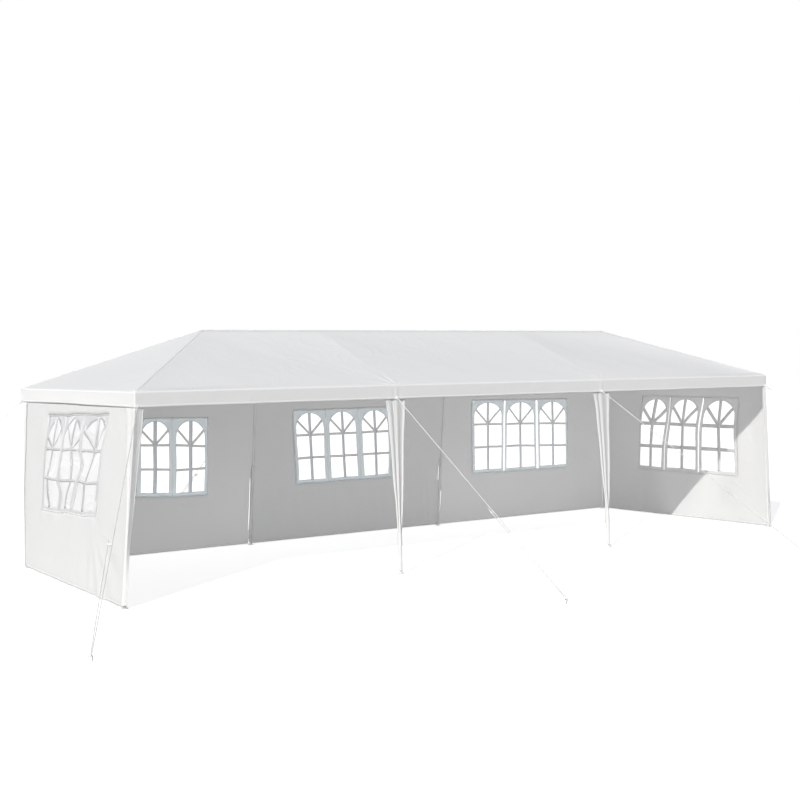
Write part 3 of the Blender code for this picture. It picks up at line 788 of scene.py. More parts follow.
# Each window: the heights of its levels, where its upright lines stand at each level, and how far some of its places
# hang above or below the level. The marks are its top, springing bar, middle bar and sill. The sheets are a little
# slack, so they wander.
windows = {
    "left_end": windowOf(
        (1.73, 1.395, 1.235, 1.075, 0.92, 0.76), np.array([
            [-0.915, -0.676, -0.352, -0.252, -0.111, 0.172, 0.272, 0.433, 0.605],
            [-0.714, -0.590, -0.276, -0.176, 0.062, 0.267, 0.367, 0.570, 0.727],
            [-0.686, -0.476, -0.331, -0.231, 0.057, 0.312, 0.412, 0.640, 0.772],
            [-0.657, -0.361, -0.167, -0.067, 0.051, 0.358, 0.458, 0.713, 0.817],
            [-0.632, -0.330, -0.105, -0.005, 0.170, 0.285, 0.385, 0.690, 0.840],
            [-0.607, -0.296, -0.043, 0.057, 0.223, 0.351, 0.451, 0.662, 0.863]]), 0.010,
        marks=(1.73, 1.395, 1.075, 0.76), flatRow=3, tilt=-0.033, pinch=1.55, liftAt=(-0.66, 0.05, 0.77),
        lifts=((-0.004, -0.010, -0.012), (0, 0, 0), (0, 0, 0), (0, 0, 0), (0.012, 0.008, 0.006),
               (0.037, 0.023, 0.020))),
    "right_end": windowOf((1.66, 1.31, 0.985, 0.69), evenCentres([
        (-1.030, -0.510, -0.405, 0.090, 0.190, 0.600),
        (-0.986, -0.445, -0.335, 0.145, 0.241, 0.690),
        (-0.997, -0.436, -0.332, 0.189, 0.292, 0.714),
        (-1.002, -0.435, -0.324, 0.198, 0.308, 0.724)]), 0.006, clear=(0.022, 0.0115)),
    "back_left": windowOf((1.575, 1.29, 1.0, 0.715), evenCentres([
        (-3.532, -3.150, -3.050, -2.688, -2.590, -2.205),
        (-3.540, -3.160, -3.058, -2.696, -2.598, -2.215),
        (-3.540, -3.160, -3.060, -2.696, -2.600, -2.217),
        (-3.555, -3.175, -3.073, -2.710, -2.613, -2.232)]), 0.003, liftAt=(-3.07, -2.71, -2.61, -2.23),
        lifts=((0.004, 0.000, -0.004, -0.016), (0.011, 0.000, -0.005, -0.036), (0.019, -0.005, -0.018, -0.016),
               (0.028, 0.008, -0.004, -0.006))),
    "back_middle": windowOf((1.607, 1.325, 1.034, 0.755), evenCentres([
        (-0.912, -0.502, -0.410, -0.004, 0.100, 0.517),
        (-0.900, -0.488, -0.397, 0.013, 0.117, 0.530),
        (-0.880, -0.482, -0.388, 0.024, 0.128, 0.535),
        (-0.868, -0.470, -0.374, 0.040, 0.145, 0.528)]), 0.004),
    "back_right": windowOf((1.645, 1.325, 1.015, 0.71), evenCentres([
        (2.020, 2.528, 2.635, 3.125, 3.235, 3.750),
        (2.020, 2.514, 2.612, 3.130, 3.243, 3.750),
        (2.022, 2.512, 2.606, 3.134, 3.247, 3.752),
        (2.022, 2.502, 2.598, 3.140, 3.253, 3.745)]), 0.004, clear=(0.028, 0.040), liftAt=(2.02, 2.88, 3.75),
        lifts=((0.010, -0.005, -0.020), (0.030, 0.009, -0.018), (0.018, 0.004, -0.030), (0.008, 0.000, -0.004))),
}


def wander(label, u, z):
    # where a place of the flat panel comes to lie: each upright line follows its own smooth curve of height,
    # and the places between two lines move in proportion
    window = windows[label]
    levels = np.array(window["levels"])[::-1]
    lines = window["lines"][::-1]
    base = window["lines"][window["flatRow"]]
    drift = [curveThrough(z, levels, lines[:, k] - base[k]) for k in range(9)]
    places = np.concatenate([[base[0] - 0.30], base, [base[-1] + 0.30]])
    drift = [0 * drift[0], *drift, 0 * drift[0]]
    moved = 0 * u
    for k in range(len(places) - 1):
        t = (u - places[k]) / (places[k + 1] - places[k])
        here = (t >= 0) & (t < 1)
        moved = np.where(here, drift[k] * (1 - t) + drift[k + 1] * t, moved)
    top, sill = levels[-1], levels[0]
    fade = smoothStep((z - (sill - 0.45)) / 0.40) * smoothStep((top + 0.22 - z) / 0.20)
    middle = base[4]
    rise = window["tilt"] * (u - middle) + window["wobble"] * softNoise(u, z, len(label), 0.30, 5)
    spots = np.array(window["liftAt"])
    for k in range(len(spots)):
        hat = np.interp(u, spots, np.eye(len(spots))[k])
        rise = rise + hat * curveThrough(z, levels, np.array(window["lifts"])[::-1, k])
    return u + moved * fade, z + rise * fade


def crumple(label, u, z):
    # how far the sheet stands off its plane, held flat at the legs and hems: two sizes of noise drawn out upwards, on
    # the left end folds that fan out from one corner and a crumpled window, and on the right end upright waves
    near, far = wallRuns[label]
    held = smoothStep((u - near - 0.03) / 0.22) * smoothStep((far - u - 0.03) / 0.22)
    hung = smoothStep((wallTop - z) / 0.35)
    seed = 40 + len(label)
    soft = 0.007 * softNoise(u, z * 0.35, seed, 0.55, 6) + 0.004 * softNoise(u, z * 0.5, seed + 1, 0.22, 6)
    if label == "left_end":
        fan = np.arctan2(z - 0.72, u + 0.55)
        away = np.hypot(z - 0.72, u + 0.55)
        low = smoothStep((0.80 - z) / 0.3) * smoothStep((-0.30 - u) / 0.3)
        soft = soft + 0.006 * np.sin(15 * fan) * low * smoothStep(away / 0.3)
        inWindow = smoothStep((u + 1.0) / 0.2) * smoothStep((0.95 - u) / 0.2)
        inWindow = inWindow * smoothStep((z - 0.6) / 0.2) * smoothStep((1.85 - z) / 0.2)
        soft = soft + 0.011 * softNoise(u + 0.28 * z, z * 0.35, 77, 0.16, 6) * inWindow
    if label == "right_end":
        soft = soft + 0.010 * np.sin(8.5 * u + 1.4 * np.sin(2.1 * z)) * smoothStep(z / 0.4)
    return soft * held * hung


edgeLegs = {"back_left": ("left", "middle_left"), "back_middle": ("middle_left", "middle_right"),
            "back_right": ("middle_right", "right")}


def edgeMove(label, edge, away, z):
    # how far a side edge of a back panel is carried by its leg's lean and drawn off it between the ties: the lean
    # fades over the reach, the slit over 6 cm, and each slit opens and closes over 6 cm of height
    leg = edgeLegs[label][edge == "far"]
    lean = footKick(leg, "back") * leanShare(z) * (1 - smoothStep(away / walls["leanReach"]))
    slit = 0
    for width, low, high in walls["slits"].get((label, edge), ()):
        slit = slit + width * smoothStep((z - low) / 0.06) * smoothStep((high - z) / 0.06)
    return lean + slit * np.exp(-away / 0.06) * (-1 if edge == "far" else 1)


def onWall(label, u, z, out):
    # a place of a wall's flat sheet, stood up in the tent
    near, far = wallRuns[label]
    out = out + crumple(label, u, z)
    if label.startswith("back"):
        u = u + edgeMove(label, "near", u - near, z) + edgeMove(label, "far", far - u, z)
        return stacked(u, halfDepth - wallDepth + out, z)
    if label == "right_end":
        shift = endShift("right", u, z)
        u = u + 0.87 * shift * smoothStep((u - near) / 0.4)      # its window hangs back from the leaning leg
        return stacked(halfLength - wallDepth + out + shift, u, z)
    return stacked(-halfLength + wallDepth - out + endShift("left", u, z), u, z)


def wallPart(label, u, z, out, wrap=False):
    # a wall's flat places, let wander and stood up
    return gridPart(onWall(label, *wander(label, u, z), out), stacked(u, z), wrap)


def wallGrid(label, uPlaces, zPlaces, out, hole=None):
    # a grid of a wall's flat places, leaving out the cells inside a hole
    u, z = np.meshgrid(uPlaces, zPlaces)
    part, faces, flat = wallPart(label, u, z, out)
    if hole:
        middleU = (u[:-1, :-1] + u[1:, 1:]).ravel() / 2
        middleZ = (z[:-1, :-1] + z[1:, 1:]).ravel() / 2
        inside = (middleU > hole[0]) & (middleU < hole[1]) & (middleZ > hole[2]) & (middleZ < hole[3])
        faces = [face for face, cut in zip(faces, inside) if not cut]
    return part, faces, flat


def spread(low, high, step):
    return np.linspace(low, high, max(2, int(round((high - low) / step)) + 1))


def joined(*runs):
    return np.concatenate([runs[0], *[run[1:] for run in runs[1:]]])


def lightOutline(low, high, centre, sill, top, pinch):
    # a light's shape from its left foot, up, over and along its sill: straight sides under half an ellipse, which
    # a pinch over 1 narrows and a centre off the middle pulls aside
    rise = walls["archShare"] * (top - sill)
    spring = top - rise
    side = np.linspace(sill, spring, walls["side"] + 1)[:-1]
    turn = np.linspace(math.pi, 0, walls["arch"])
    cos = np.sign(np.cos(turn)) * np.abs(np.cos(turn)) ** pinch
    middle = (low + high) / 2
    archU = middle + (centre - middle) * np.sin(turn) * 0.5 + (high - low) / 2 * cos
    archZ = spring + rise * np.sin(turn)
    foot = np.linspace(high, low, walls["sill"] + 2)[1:-1]
    u = np.concatenate([np.full(walls["side"], low), archU, np.full(walls["side"], high), foot])
    z = np.concatenate([side, archZ, side[::-1], np.full(walls["sill"], sill)])
    return u, z, spring


def cellOutline(low, high, foot, spring, top, sill):
    # the border of a light's cell, with a place for each place of the light's outline
    edge = walls["arch"] // 4
    side = foot + (np.linspace(sill, spring, walls["side"] + 1)[:-1] - sill) * (spring - foot) / (spring - sill)
    up, across = np.linspace(spring, top, edge + 1), np.linspace(low, high, walls["arch"] - 2 * edge)
    upright, below = np.full(walls["side"], 1.0), np.linspace(high, low, walls["sill"] + 2)[1:-1]
    u = np.concatenate([low * upright, np.full(edge, low), across, np.full(edge, high), high * upright, below])
    z = np.concatenate([side, up[:-1], 0 * across + top, up[::-1][1:], side[::-1], 0 * below + foot])
    return u, z


def strip(label, start, end, width, out):
    # a flat strip of a wall from one flat place to another
    start, end = np.array(start, float), np.array(end, float)
    run = end - start
    length = np.linalg.norm(run)
    t = np.linspace(0, 1, max(3, int(length / walls["stripStep"]) + 1))[:, None]
    normal = np.array([-run[1], run[0]]) / length
    w = np.linspace(-0.5, 0.5, 3)[None, :] * width
    return wallPart(label, start[0] + run[0] * t + normal[0] * w, start[1] + run[1] * t + normal[1] * w, out)


def slantedStrip(label, start, way, half, spring, rise, width):
    # a bar that rises as fast as it runs aside, until it passes the ellipse of its light's arch
    grow = np.linspace(0, 0.5, 400)
    inside = (grow / half) ** 2 + (np.maximum(start[1] + grow - spring, 0) / rise) ** 2 < 1
    reach = grow[inside].max() + 0.010
    foot = start[1] + walls["lap"]
    return strip(label, (start[0], foot), (start[0] + way * reach, foot + reach), width, walls["layers"]["slanted"])


innerPrints = (film["print_film"], film["upright_print"], film["cross_print"])
# the left end takes the greyer print copies, which paint the shade of the tent behind them
printsOf = {"left_end": (film["outer_print"], film["outer_upright"], film["outer_cross"]),
            "right_end": (film["end_print"], film["end_bar"], film["end_bar"])}


def buildWindow(label):
    # printed panel, bars and film of one wall, and the flat box that the panel covers
    window, (wide, thin) = windows[label], walls["barWidths"][label]
    layers, past, inset = walls["layers"], walls["barPast"], walls["filmInset"]
    base = window["lines"][window["flatRow"]]
    top, level, middle, sill = window["marks"]
    low, high = base[0] - walls["panelSide"], base[-1] + walls["panelSide"]
    foot, head = sill - walls["panelBelow"], top + walls["panelAbove"]
    ribs = [(base[k] + base[k + 1]) / 2 for k in (2, 5)]
    starts = [low, *(rib + clear / 2 for rib, clear in zip(ribs, window["clear"]))]
    stops = [*(rib - clear / 2 for rib, clear in zip(ribs, window["clear"])), high]
    cells, uprights, crosses = [], [], []
    for k in range(3):
        a, c, b = base[3 * k:3 * k + 3]
        innerU, innerZ, spring = lightOutline(a, b, c, sill, top, window["pinch"])
        outerU, outerZ = cellOutline(starts[k], stops[k], foot, spring, head, sill)
        w = np.linspace(0, 1, 5)[:, None]
        u, z = outerU * (1 - w) + innerU * w, outerZ * (1 - w) + innerZ * w
        cells.append(wallPart(label, u, z, layers["print"], wrap=True))
        uprights.append(strip(label, (c, sill - past["sill"]), (c, top + past["top"]), wide, layers["upright"]))
        crosses += [strip(label, (a - past["side"], bar), (b + past["side"], bar), thin, layers["cross"])
                    for bar in (level, middle)]
        crosses += [slantedStrip(label, (c, level), way, half, spring, top - spring, thin)
                    for way, half in ((-1, c - a), (1, b - c))]
    kinds = zip(("print", "uprights", "crossbars"), (cells, uprights, crosses), printsOf.get(label, innerPrints),
                (0.0005, 0.0004, 0.0004))
    prints = [addPiece(f"window_{kind}_{label}", parts, finish, thickness=thickness)
              for kind, parts, finish, thickness in kinds]
    pane = wallGrid(label, spread(low + inset, high - inset, walls["step"]),
                    spread(foot + inset, head - inset, walls["step"]), layers["film"])
    clear = addPiece(f"window_clear_{label}", [pane], film["hazy_film" if label == "left_end" else "clear_film"],
                     thickness=0.0005, replaces=(f"window_film_{label}",))
    return (low, high, foot, head), prints, clear


def buildHangers(label):
    # webbing loops from the top hem round the eave tube: up its outer side, over it, and back under it to the hem
    near, far = wallRuns[label]
    count = int((far - near - 0.3) / walls["hangerSpacing"]) + 1
    turn, radius = np.linspace(math.pi, -math.pi / 3, 21), walls["hangerRadius"]
    depth = np.concatenate([[wallDepth + 0.0022, wallDepth + 0.0026], halfDepth - frameY + radius * np.cos(turn),
                            [wallDepth + 0.0044, wallDepth + 0.0028]])
    z = np.concatenate([[wallTop - 0.030, wallTop], tubeHeight + radius * np.sin(turn),
                        [wallTop + 0.004, wallTop - 0.030]])
    side = label.split("_")[0]
    sign, outward, *_ = sideOf(side)
    loops = []
    for at in np.linspace(near + 0.15, far - 0.15, count):
        path = stacked(*planOf(side, at, sign * (outward - depth)), z)
        loops.append(sweep(path, roundedBar(0.0014, walls["hangerWidth"], 0.0006), (*planOf(side, 1, 0), 0)))
    return addPiece(f"wall_hangers_{label}", loops, cloth["web_cloth"], sharp=50)


def edgeBands(low, high):
    # the two runs of a seam that laps over the edges of the panel's opening
    lap, seam = walls["lap"], walls["seam"]
    return np.linspace(low - seam, low + lap, 3), np.linspace(high - lap, high + seam, 3)


def buildWall(label):
    # one wall: its sheet with an opening for the window panel, and its hems and seams
    near, far = wallRuns[label]
    (low, high, foot, head), prints, clear = buildWindow(label)
    lap, step, held = walls["overlap"], walls["step"], walls["lap"]
    hole = (low + lap, high - lap, foot + lap, head - lap)
    us = joined(spread(near, near + 0.03, 0.01), spread(near + 0.03, hole[0], step), spread(hole[0], hole[1], step),
                spread(hole[1], far - 0.03, step), spread(far - 0.03, far, 0.01))
    zs = joined(spread(wallFoot, hole[2], step), spread(hole[2], hole[3], step), spread(hole[3], wallTop, step))
    sheet = addPiece(f"wall_cloth_{label}", [wallGrid(label, us, zs, 0.0, hole)], cloth["wall_cloth"],
                     thickness=walls["thickness"], replaces=(f"wall_{label}",))
    bands = []
    for out in walls["hemLayers"]:
        for a, b in ((wallFoot, wallFoot + walls["footHem"]), (wallTop - walls["topHem"], wallTop)):
            bands.append(wallGrid(label, us, np.linspace(a, b, 3), out))
        for a, b in ((near, near + walls["sideHem"]), (far - walls["sideHem"], far)):
            bands.append(wallGrid(label, np.linspace(a, b, 3), zs, out * 1.3))
    across, up = spread(low - held, high + held, step), spread(foot - held, head + held, step)
    bands += [wallGrid(label, columns, up, walls["hemLayers"][0]) for columns in edgeBands(*hole[:2])]
    bands += [wallGrid(label, across, rows, walls["hemLayers"][0]) for rows in edgeBands(*hole[2:])]
    hems = addPiece(f"wall_hems_{label}", bands, cloth["wall_cloth"], thickness=0.0006)
    # a tape over the panel's top seam: its dark grey is painted shadow of the seam's fold
    tapes = [wallGrid(label, across, np.linspace(head - held, head + held, 3), out) for out in walls["tapeLayers"]]
    tape = addPiece(f"window_tape_{label}", tapes, cloth["outer_tape" if label == "left_end" else "inner_tape"],
                    thickness=0.0004)
    buildHangers(label)


def buildTies(column):
    # webbing tied round a back leg where two panels meet: a band about the tube, a knot and two short tails, which
    # drop ever faster
    parts = []
    ring, drop = ringTurns(32), np.linspace(0, 1, 9)
    for number, z in enumerate(walls["ties"][column]):
        x = legColumns[column] + footKick(column, "back") * leanShare(z)
        band = stacked(x + 0.0146 * np.cos(ring), frameY + 0.0146 * np.sin(ring), z + 0.002 * np.cos(ring))
        parts.append(sweep(band, roundedBar(0.0016, 0.013, 0.0007), (0, 0, 1), closed=True))
        knot = np.array([x - 0.006, frameY - 0.0190, z - 0.001])
        bead = [(0.0001, -0.006), (0.005, -0.0045), (0.0068, 0), (0.005, 0.0045), (0.0001, 0.006)]
        parts.append(turned(bead, 14, knot, (1, 0, 0.3)))
        for way in (-1, 1):
            length = 0.045 + 0.012 * ((number + (way > 0)) % 2)
            tail = knot + stacked(way * (0.004 + 0.016 * drop), -0.003 - 0.004 * np.sin(math.pi * drop),
                                  -length * drop ** 1.4)
            parts.append(sweep(tail, roundedBar(0.0014, 0.011, 0.0006), (1, 0, 0)))
    addPiece(f"wall_ties_{column}", parts, cloth["web_cloth"], sharp=50)


for wallLabel in wallRuns:
    buildWall(wallLabel)
for tieColumn in walls["ties"]:
    buildTies(tieColumn)
print("five walls hung")


# Leg drapes: a gathered strip of cloth down each leg, wide under the valance and wrapped round the tube below

drapes = {
    "top": 1.925, "foot": 0.028, "rows": 90, "columns": 56, "thickness": 0.0009,
    "heights": (0.028, 0.227, 0.557, 0.771, 0.942, 1.2, 1.5, 1.7, 1.858, 1.925),
    "middle_left": ((0.020, 0.024, 0.034, 0.044, 0.062, 0.078, 0.097, 0.113, 0.134, 0.136),     # reach to the left
                    (0.018, 0.024, 0.038, 0.056, 0.068, 0.078, 0.094, 0.116, 0.124, 0.126)),    # and to the right
    "middle_right": ((0.020, 0.022, 0.028, 0.046, 0.060, 0.070, 0.089, 0.096, 0.119, 0.121),
                     (0.018, 0.022, 0.044, 0.064, 0.080, 0.096, 0.111, 0.134, 0.150, 0.152)),
    "section": ((-1, -0.82, -0.35, 0, 0.42, 0.68, 0.9, 1), (0.9, 0, 0.65, 0, 0.95, 1.1, 0.6, 0.95)),   # crests are 0
    "recess": 0.0115,       # depth of the two folds between the edges and the tube
    "wrapRadius": 0.0178,
    "looseRadius": 0.012,   # how much wider the wrap is half a metre up
    "wrapTurn": 128,        # degrees that it reaches round the tube to each side
    "drawnIn": 0.64,        # the height under which the front drapes are drawn in to the tube
    "cornerHeights": (0.028, 0.227, 0.477, 0.69, 0.98, 1.32, 1.51, 1.72, 1.858, 1.925),
    "frontWing": {"left": (0.030, 0.030, 0.034, 0.045, 0.062, 0.078, 0.087, 0.100, 0.100, 0.102),
                  "right": (0.034, 0.034, 0.036, 0.040, 0.045, 0.048, 0.050, 0.054, 0.058, 0.060)},
    "sideWing": (0.024, 0.026, 0.040, 0.044, 0.060, 0.118, 0.140, 0.165, 0.184, 0.186),
    "cornerSection": ((0, 0.45, 0.85, 1), (0, 1, 0.05, 0.4)),
    "cornerRadius": 0.012,
    "cornerProud": 0.0030,  # how far the front wing stands out at the corner, below the valance
    "cornerDepth": 0.0112,  # and how deep it lies over the tube
    "flare": 0.015,         # how far its free edge stands forward near the ground
}


def drapeZones(z):
    # shares by height: how far a drape is drawn in near the ground, and how far it is pressed flat by the valance
    return smoothStep((drapes["drawnIn"] - z) / 0.42), smoothStep((z - valanceFoot + 0.03) / 0.03)


def overWall(fold, under, lift):
    # depth of a strip that hangs over a wall: its folds rest on the wall, its crests stand off it
    return 0.0048 - lift * (1 - fold) * (1 - under)


def middleDrape(column, row, q, z, proud):
    # at a middle leg: a shallow W, whose crests are the edges and the leg, and on a front leg an arc round the tube
    # near the ground
    sign = -1 if row == "front" else 1
    seed = 90 + 7 * list(legColumns).index(column) + (row == "back")
    low, under = drapeZones(z)
    low = low * (row == "front")
    fold = curveThrough(q, *drapes["section"]) + 0.07 * np.sin(9 * math.pi * q + 1.6 * z + seed) * (1 - np.abs(q))
    fold = np.clip(fold, 0, 1.1)
    left, right = (curveThrough(z, drapes["heights"], side) for side in drapes[column])
    narrow = 1 if row == "front" else 1 - 0.5 * smoothStep((1.05 - z) / 0.3)
    across = np.where(q < 0, left * q, right * q) * narrow + 0.004 * np.sin(3.1 * z + seed) * (1 - low) * (1 - under)
    if row == "front":
        depth = 0.0038 + drapes["recess"] * fold * (1 - 0.55 * under)
    else:
        depth = overWall(fold, under, 0.009)
    legX = legColumns[column] + footKick(column, row) * leanShare(z)
    turn = q * math.radians(drapes["wrapTurn"])
    radius = drapes["wrapRadius"] + drapes["looseRadius"] * smoothStep(z / 0.5) + proud
    radius = radius + 0.0014 * np.sin(7 * q + 4 * z) * smoothStep(z / 0.2)
    x = (legX + across) * (1 - low) + (legX + radius * np.sin(turn)) * low
    y = sign * ((halfDepth - depth + proud) * (1 - low) + (frameY + radius * np.cos(turn)) * low)
    return stacked(x, y, z)


def cornerDrape(column, row, q, z, proud):
    # at a corner leg: two wings that meet in a small quarter circle. The front wing of a front leg slants inward over
    # the tube and stands forward near the ground; the other wings hang over the walls
    sign = -1 if row == "front" else 1
    side = -1 if column == "left" else 1
    low, under = drapeZones(z)
    p = np.abs(q)
    fold = np.clip(curveThrough(p, *drapes["cornerSection"]), 0, 1.1)
    wing = np.where(q < 0, curveThrough(z, drapes["cornerHeights"], drapes["frontWing"][column]),
                    curveThrough(z, drapes["cornerHeights"], drapes["sideWing"]))
    run = wing * p ** 1.1
    if row == "front":
        upper = 0.0038 * under - drapes["cornerProud"] * (1 - under)
        most = drapes["cornerDepth"] * (1 - under) + 0.0065 * under
        ripple = 0.0005 * np.sin(5.5 * math.pi * p + 2 * z) * smoothStep((p - 0.5) / 0.2) * (1 - under)
        slant = 0.07 * np.maximum(run - 0.050, 0) * (1 - under)
        frontEdge = upper * (1 - low) + 0.004 * low
        frontDepth = (upper + (most - upper) * np.minimum(run / 0.050, 1) - ripple + slant) * (1 - low)
        frontDepth = frontDepth + low * (0.004 - drapes["flare"] * p)
    else:
        frontDepth, frontEdge = overWall(fold, under, 0.008), overWall(0, under, 0.008)
    sideDepth, sideEdge = overWall(fold, under, 0.008), overWall(0, under, 0.008)
    radius = drapes["cornerRadius"]
    quarter = radius * math.pi / 4
    angle = math.pi / 4 + np.minimum(run, quarter) / radius
    along = radius * (1 - np.cos(angle)) + np.maximum(run - quarter, 0)
    inward = radius * (1 - np.sin(angle))
    x = np.where(q < 0, sideEdge + along - proud * np.cos(angle), sideDepth + inward - proud * np.sin(angle))
    y = np.where(q < 0, frontDepth + inward - proud * np.sin(angle), frontEdge + along - proud * np.cos(angle))
    x, y = side * (halfLength - x), sign * (halfDepth - y)
    return stacked(x + endShift(column, y, z), y, z)


def buildDrape(column, row):
    # a drape over its rows of height and its places q, which run from -1 to 1 across it, with its hems
    middle = column.startswith("middle")
    shape, width = (middleDrape, 0.34) if middle else (cornerDrape, 0.42)
    foot, top = drapes["foot"], drapes["top"]
    z = np.concatenate([np.linspace(foot, 1.80, drapes["rows"]), np.linspace(1.81, top, 12)])
    q = np.linspace(-1, 1, drapes["columns"] + 1)
    q = np.sign(q) * np.abs(q) ** 0.9

    def patch(places, heights, proud=0.0010):
        across, up = np.meshgrid(places, heights)
        return gridPart(shape(column, row, across, up, proud), stacked(across * width / 2, up))

    sheetPart = patch(q, z, 0.0)
    sheet = addPiece(f"drape_{row}_{column}", [sheetPart], cloth["drape_cloth"],
                     thickness=drapes["thickness"], replaces=(f"leg_drape_{row}_{column}",))
    hems = [patch(np.linspace(a, b, 3), z) for a, b in ((-1.0, -0.90), (0.90, 1.0))]
    hems.append(patch(np.linspace(-1, 1, 41), np.linspace(foot, foot + 0.020, 3)))
    hem = addPiece(f"drape_hem_{row}_{column}", hems, cloth["drape_cloth"], thickness=0.0005)


for legRow in legRows:
    for legColumn in legColumns:
        buildDrape(legColumn, legRow)
print("leg drapes gathered")


# Guy ropes: a sewn loop, a knot, the cord through its slider, and the hooked peg

ropes = {
    "radius": 0.0040, "lobes": 3, "lobeDepth": 0.14, "twist": 0.034,      # a laid cord of three strands
    "ring": 0.006, "sides": 9,      # between the rings of its mesh, and places on each ring
    "spacing": 0.036,       # between the two strands at the slider
    "pegSpacing": 0.010,    # and at the peg, where they meet round its hook
    "sliderAt": 0.6,        # part of the way down
    "sliderHalf": 0.011,    # half of the slider's length along the rope
    "tabProud": 0.0022,     # how far the sewn tab lies off the valance
    "tabHalf": 0.012,
    "pegHeight": 0.055, "pegSlant": 0.012, "pegRadius": 0.0040, "hookBend": 0.009, "hookCurl": 0.006,
    "hookBar": 0.0084,      # how far the cord passes round the hook
    "offsets": {            # of each peg from the valance above its leg
        "front_left": (-1.24, -1.80), "front_middle_left": (0.23, -2.30),
        "front_middle_right": (1.25, -1.90), "front_right": (1.45, -2.00),
        "back_left": (-1.80, 1.20), "back_middle_left": (-0.23, 2.30),
        "back_middle_right": (0.23, 2.30), "back_right": (1.80, 1.20),
    },
}


def linePath(start, end, step):
    # a straight run from one point to another in steps of one length
    start, end = np.asarray(start, float), np.asarray(end, float)
    count = max(3, int(np.linalg.norm(end - start) / step) + 1)
    return start + (end - start) * np.linspace(0, 1, count)[:, None]


def twistedCord(path, reference, radius):
    # a laid cord: its section has three lobes, which turn steadily along the path
    s = np.concatenate([[0], np.cumsum(np.linalg.norm(np.diff(path, axis=0), axis=1))])
    turn = ringTurns(ropes["sides"])
    twist = 2 * math.pi * s[:, None] / ropes["twist"] / 3
    lobe = radius * (1 + ropes["lobeDepth"] * np.cos(ropes["lobes"] * (turn[None, :] - twist)))
    points, faces, flat = sweep(path, stacked(lobe * np.cos(turn), lobe * np.sin(turn)), reference)
    flat[:len(path) * len(turn)] = stacked(turn[None, :] * radius, s[:, None]).reshape(-1, 2)
    return points, faces, flat


def knotPath(centre, axis, size):
    # a three-leaved knot about an axis: a ring that passes through itself three times
    t = ringTurns(48)[:, None]
    axis = unit(axis)
    right = unit(np.cross(axis, [0.3, 0.2, 1.0]))
    up = np.cross(right, axis)
    a, b, c = np.sin(t) + 2 * np.sin(2 * t), np.cos(t) - 2 * np.cos(2 * t), -np.sin(3 * t)
    return np.asarray(centre) + size / 3 * (a * right + b * up + 0.9 * c * axis)


def ropeTab(column, row, sign):
    # the webbing sewn on the valance and its loop, most of a circle flattened to 0.45; gives the cord's knot too
    x, proud = legColumns[column], ropes["tabProud"]
    along, down = np.meshgrid(np.linspace(-1, 1, 7) * ropes["tabHalf"] + x, [0.80, 0.86, 0.92, 0.98, 1.0])
    tab = gridPart(valancePoint(row, along, down, proud), stacked(along, down * 0.15))
    knot = valancePoint(row, np.array([x]), np.array([0.93]), proud)[0] + [0, sign * 0.0075, 0]
    turn = np.linspace(0.15, 2 * math.pi - 0.15, 25)
    ring = stacked(0, sign * ((1 - np.cos(turn)) * 0.45 - 0.5), np.sin(turn))
    loop = knot + [0, -sign * 0.002, 0.004] + 0.010 * ring
    addPiece(f"rope_tab_{row}_{column}", [tab, sweep(loop, roundedBar(0.014, 0.0016, 0.0006), (1, 0, 0))],
             cloth["web_cloth"])
    return knot


def ropePath(knot, eye, run, lift, nearPeg, knotAt):
    # the cord's run: down to the hook, half a turn round it, and back up to the knot behind the slider
    ring = ropes["ring"]
    main = linePath(knot + run * 0.004, eye - run * 0.05 + lift * 0.002, ring)
    turn, share = np.linspace(math.pi / 2, -math.pi / 2, 13)[:, None], np.linspace(0, 1, 13)[:, None]
    around = eye + nearPeg * share + ropes["hookBar"] * (np.cos(turn) * run + np.sin(turn) * lift)
    back = linePath(eye + nearPeg - run * 0.06 - lift * 0.001, knotAt, ring)
    ontoHook = linePath(main[-1], eye - run * 0.02 + ropes["hookBar"] * lift, 0.004)[1:]
    offHook = linePath(around[-1], back[0], 0.004)[1:-1]
    path = np.concatenate([main, ontoHook, around, offHook, back])
    path = path[np.concatenate([[True], np.linalg.norm(np.diff(path, axis=0), axis=1) > 0.0008])]
    for _ in range(3):      # rounds off the corners
        path[1:-1] = (path[:-2] + 2 * path[1:-1] + path[2:]) / 4
    return path


def ropeSlider(slider, beside, run, lift, across):
    # a bar drawn in at its ends and round each cord, with a rim about each hole above and below
    t, half = np.linspace(-1, 1, 21), ropes["sliderHalf"]
    taper = 1 - 0.22 * np.abs(t) ** 6 - 0.10 * (np.abs(np.abs(t) - 0.45) < 0.2)
    plate = slider + beside / 2 + run * (t * half)[:, None]
    parts = [sweep(plate, roundedBar(ropes["spacing"] + 0.012, 0.010, 0.0042), lift, scale=taper)]
    ring = ringTurns(24)[:, None]
    for place in (-0.62, 0.62):
        for strand in (0, 1):
            centre = slider + beside * strand + run * half * place
            rim = centre + lift * 0.0050 + 0.0052 * (np.cos(ring) * run + np.sin(ring) * across)
            parts += [sweep(rim - lift * down, circle(0.0011, 8), lift, closed=True) for down in (0, 0.0100)]
    return parts


def ropePeg(foot, head, eye, across):
    # a round pin out of the ground, bent over into a hook whose tip curls down: two quarter circles
    pegUp, bend = unit(head - foot), np.linspace(0, math.pi / 2, 9)[:, None]
    start = eye - across * 0.0085 - pegUp * ropes["hookBend"]
    arc = start + ropes["hookBend"] * (np.sin(bend) * pegUp + (1 - np.cos(bend)) * across)
    tip = eye + across * 0.0205
    curl = tip + ropes["hookCurl"] * (np.sin(bend) * across - (1 - np.cos(bend)) * pegUp)
    pin = np.concatenate([linePath(foot, start, 0.01)[:-1], arc, linePath(arc[-1], tip, 0.006)[1:-1], curl])
    return [sweep(pin, circle(ropes["pegRadius"], 14), np.cross(pegUp, across))]


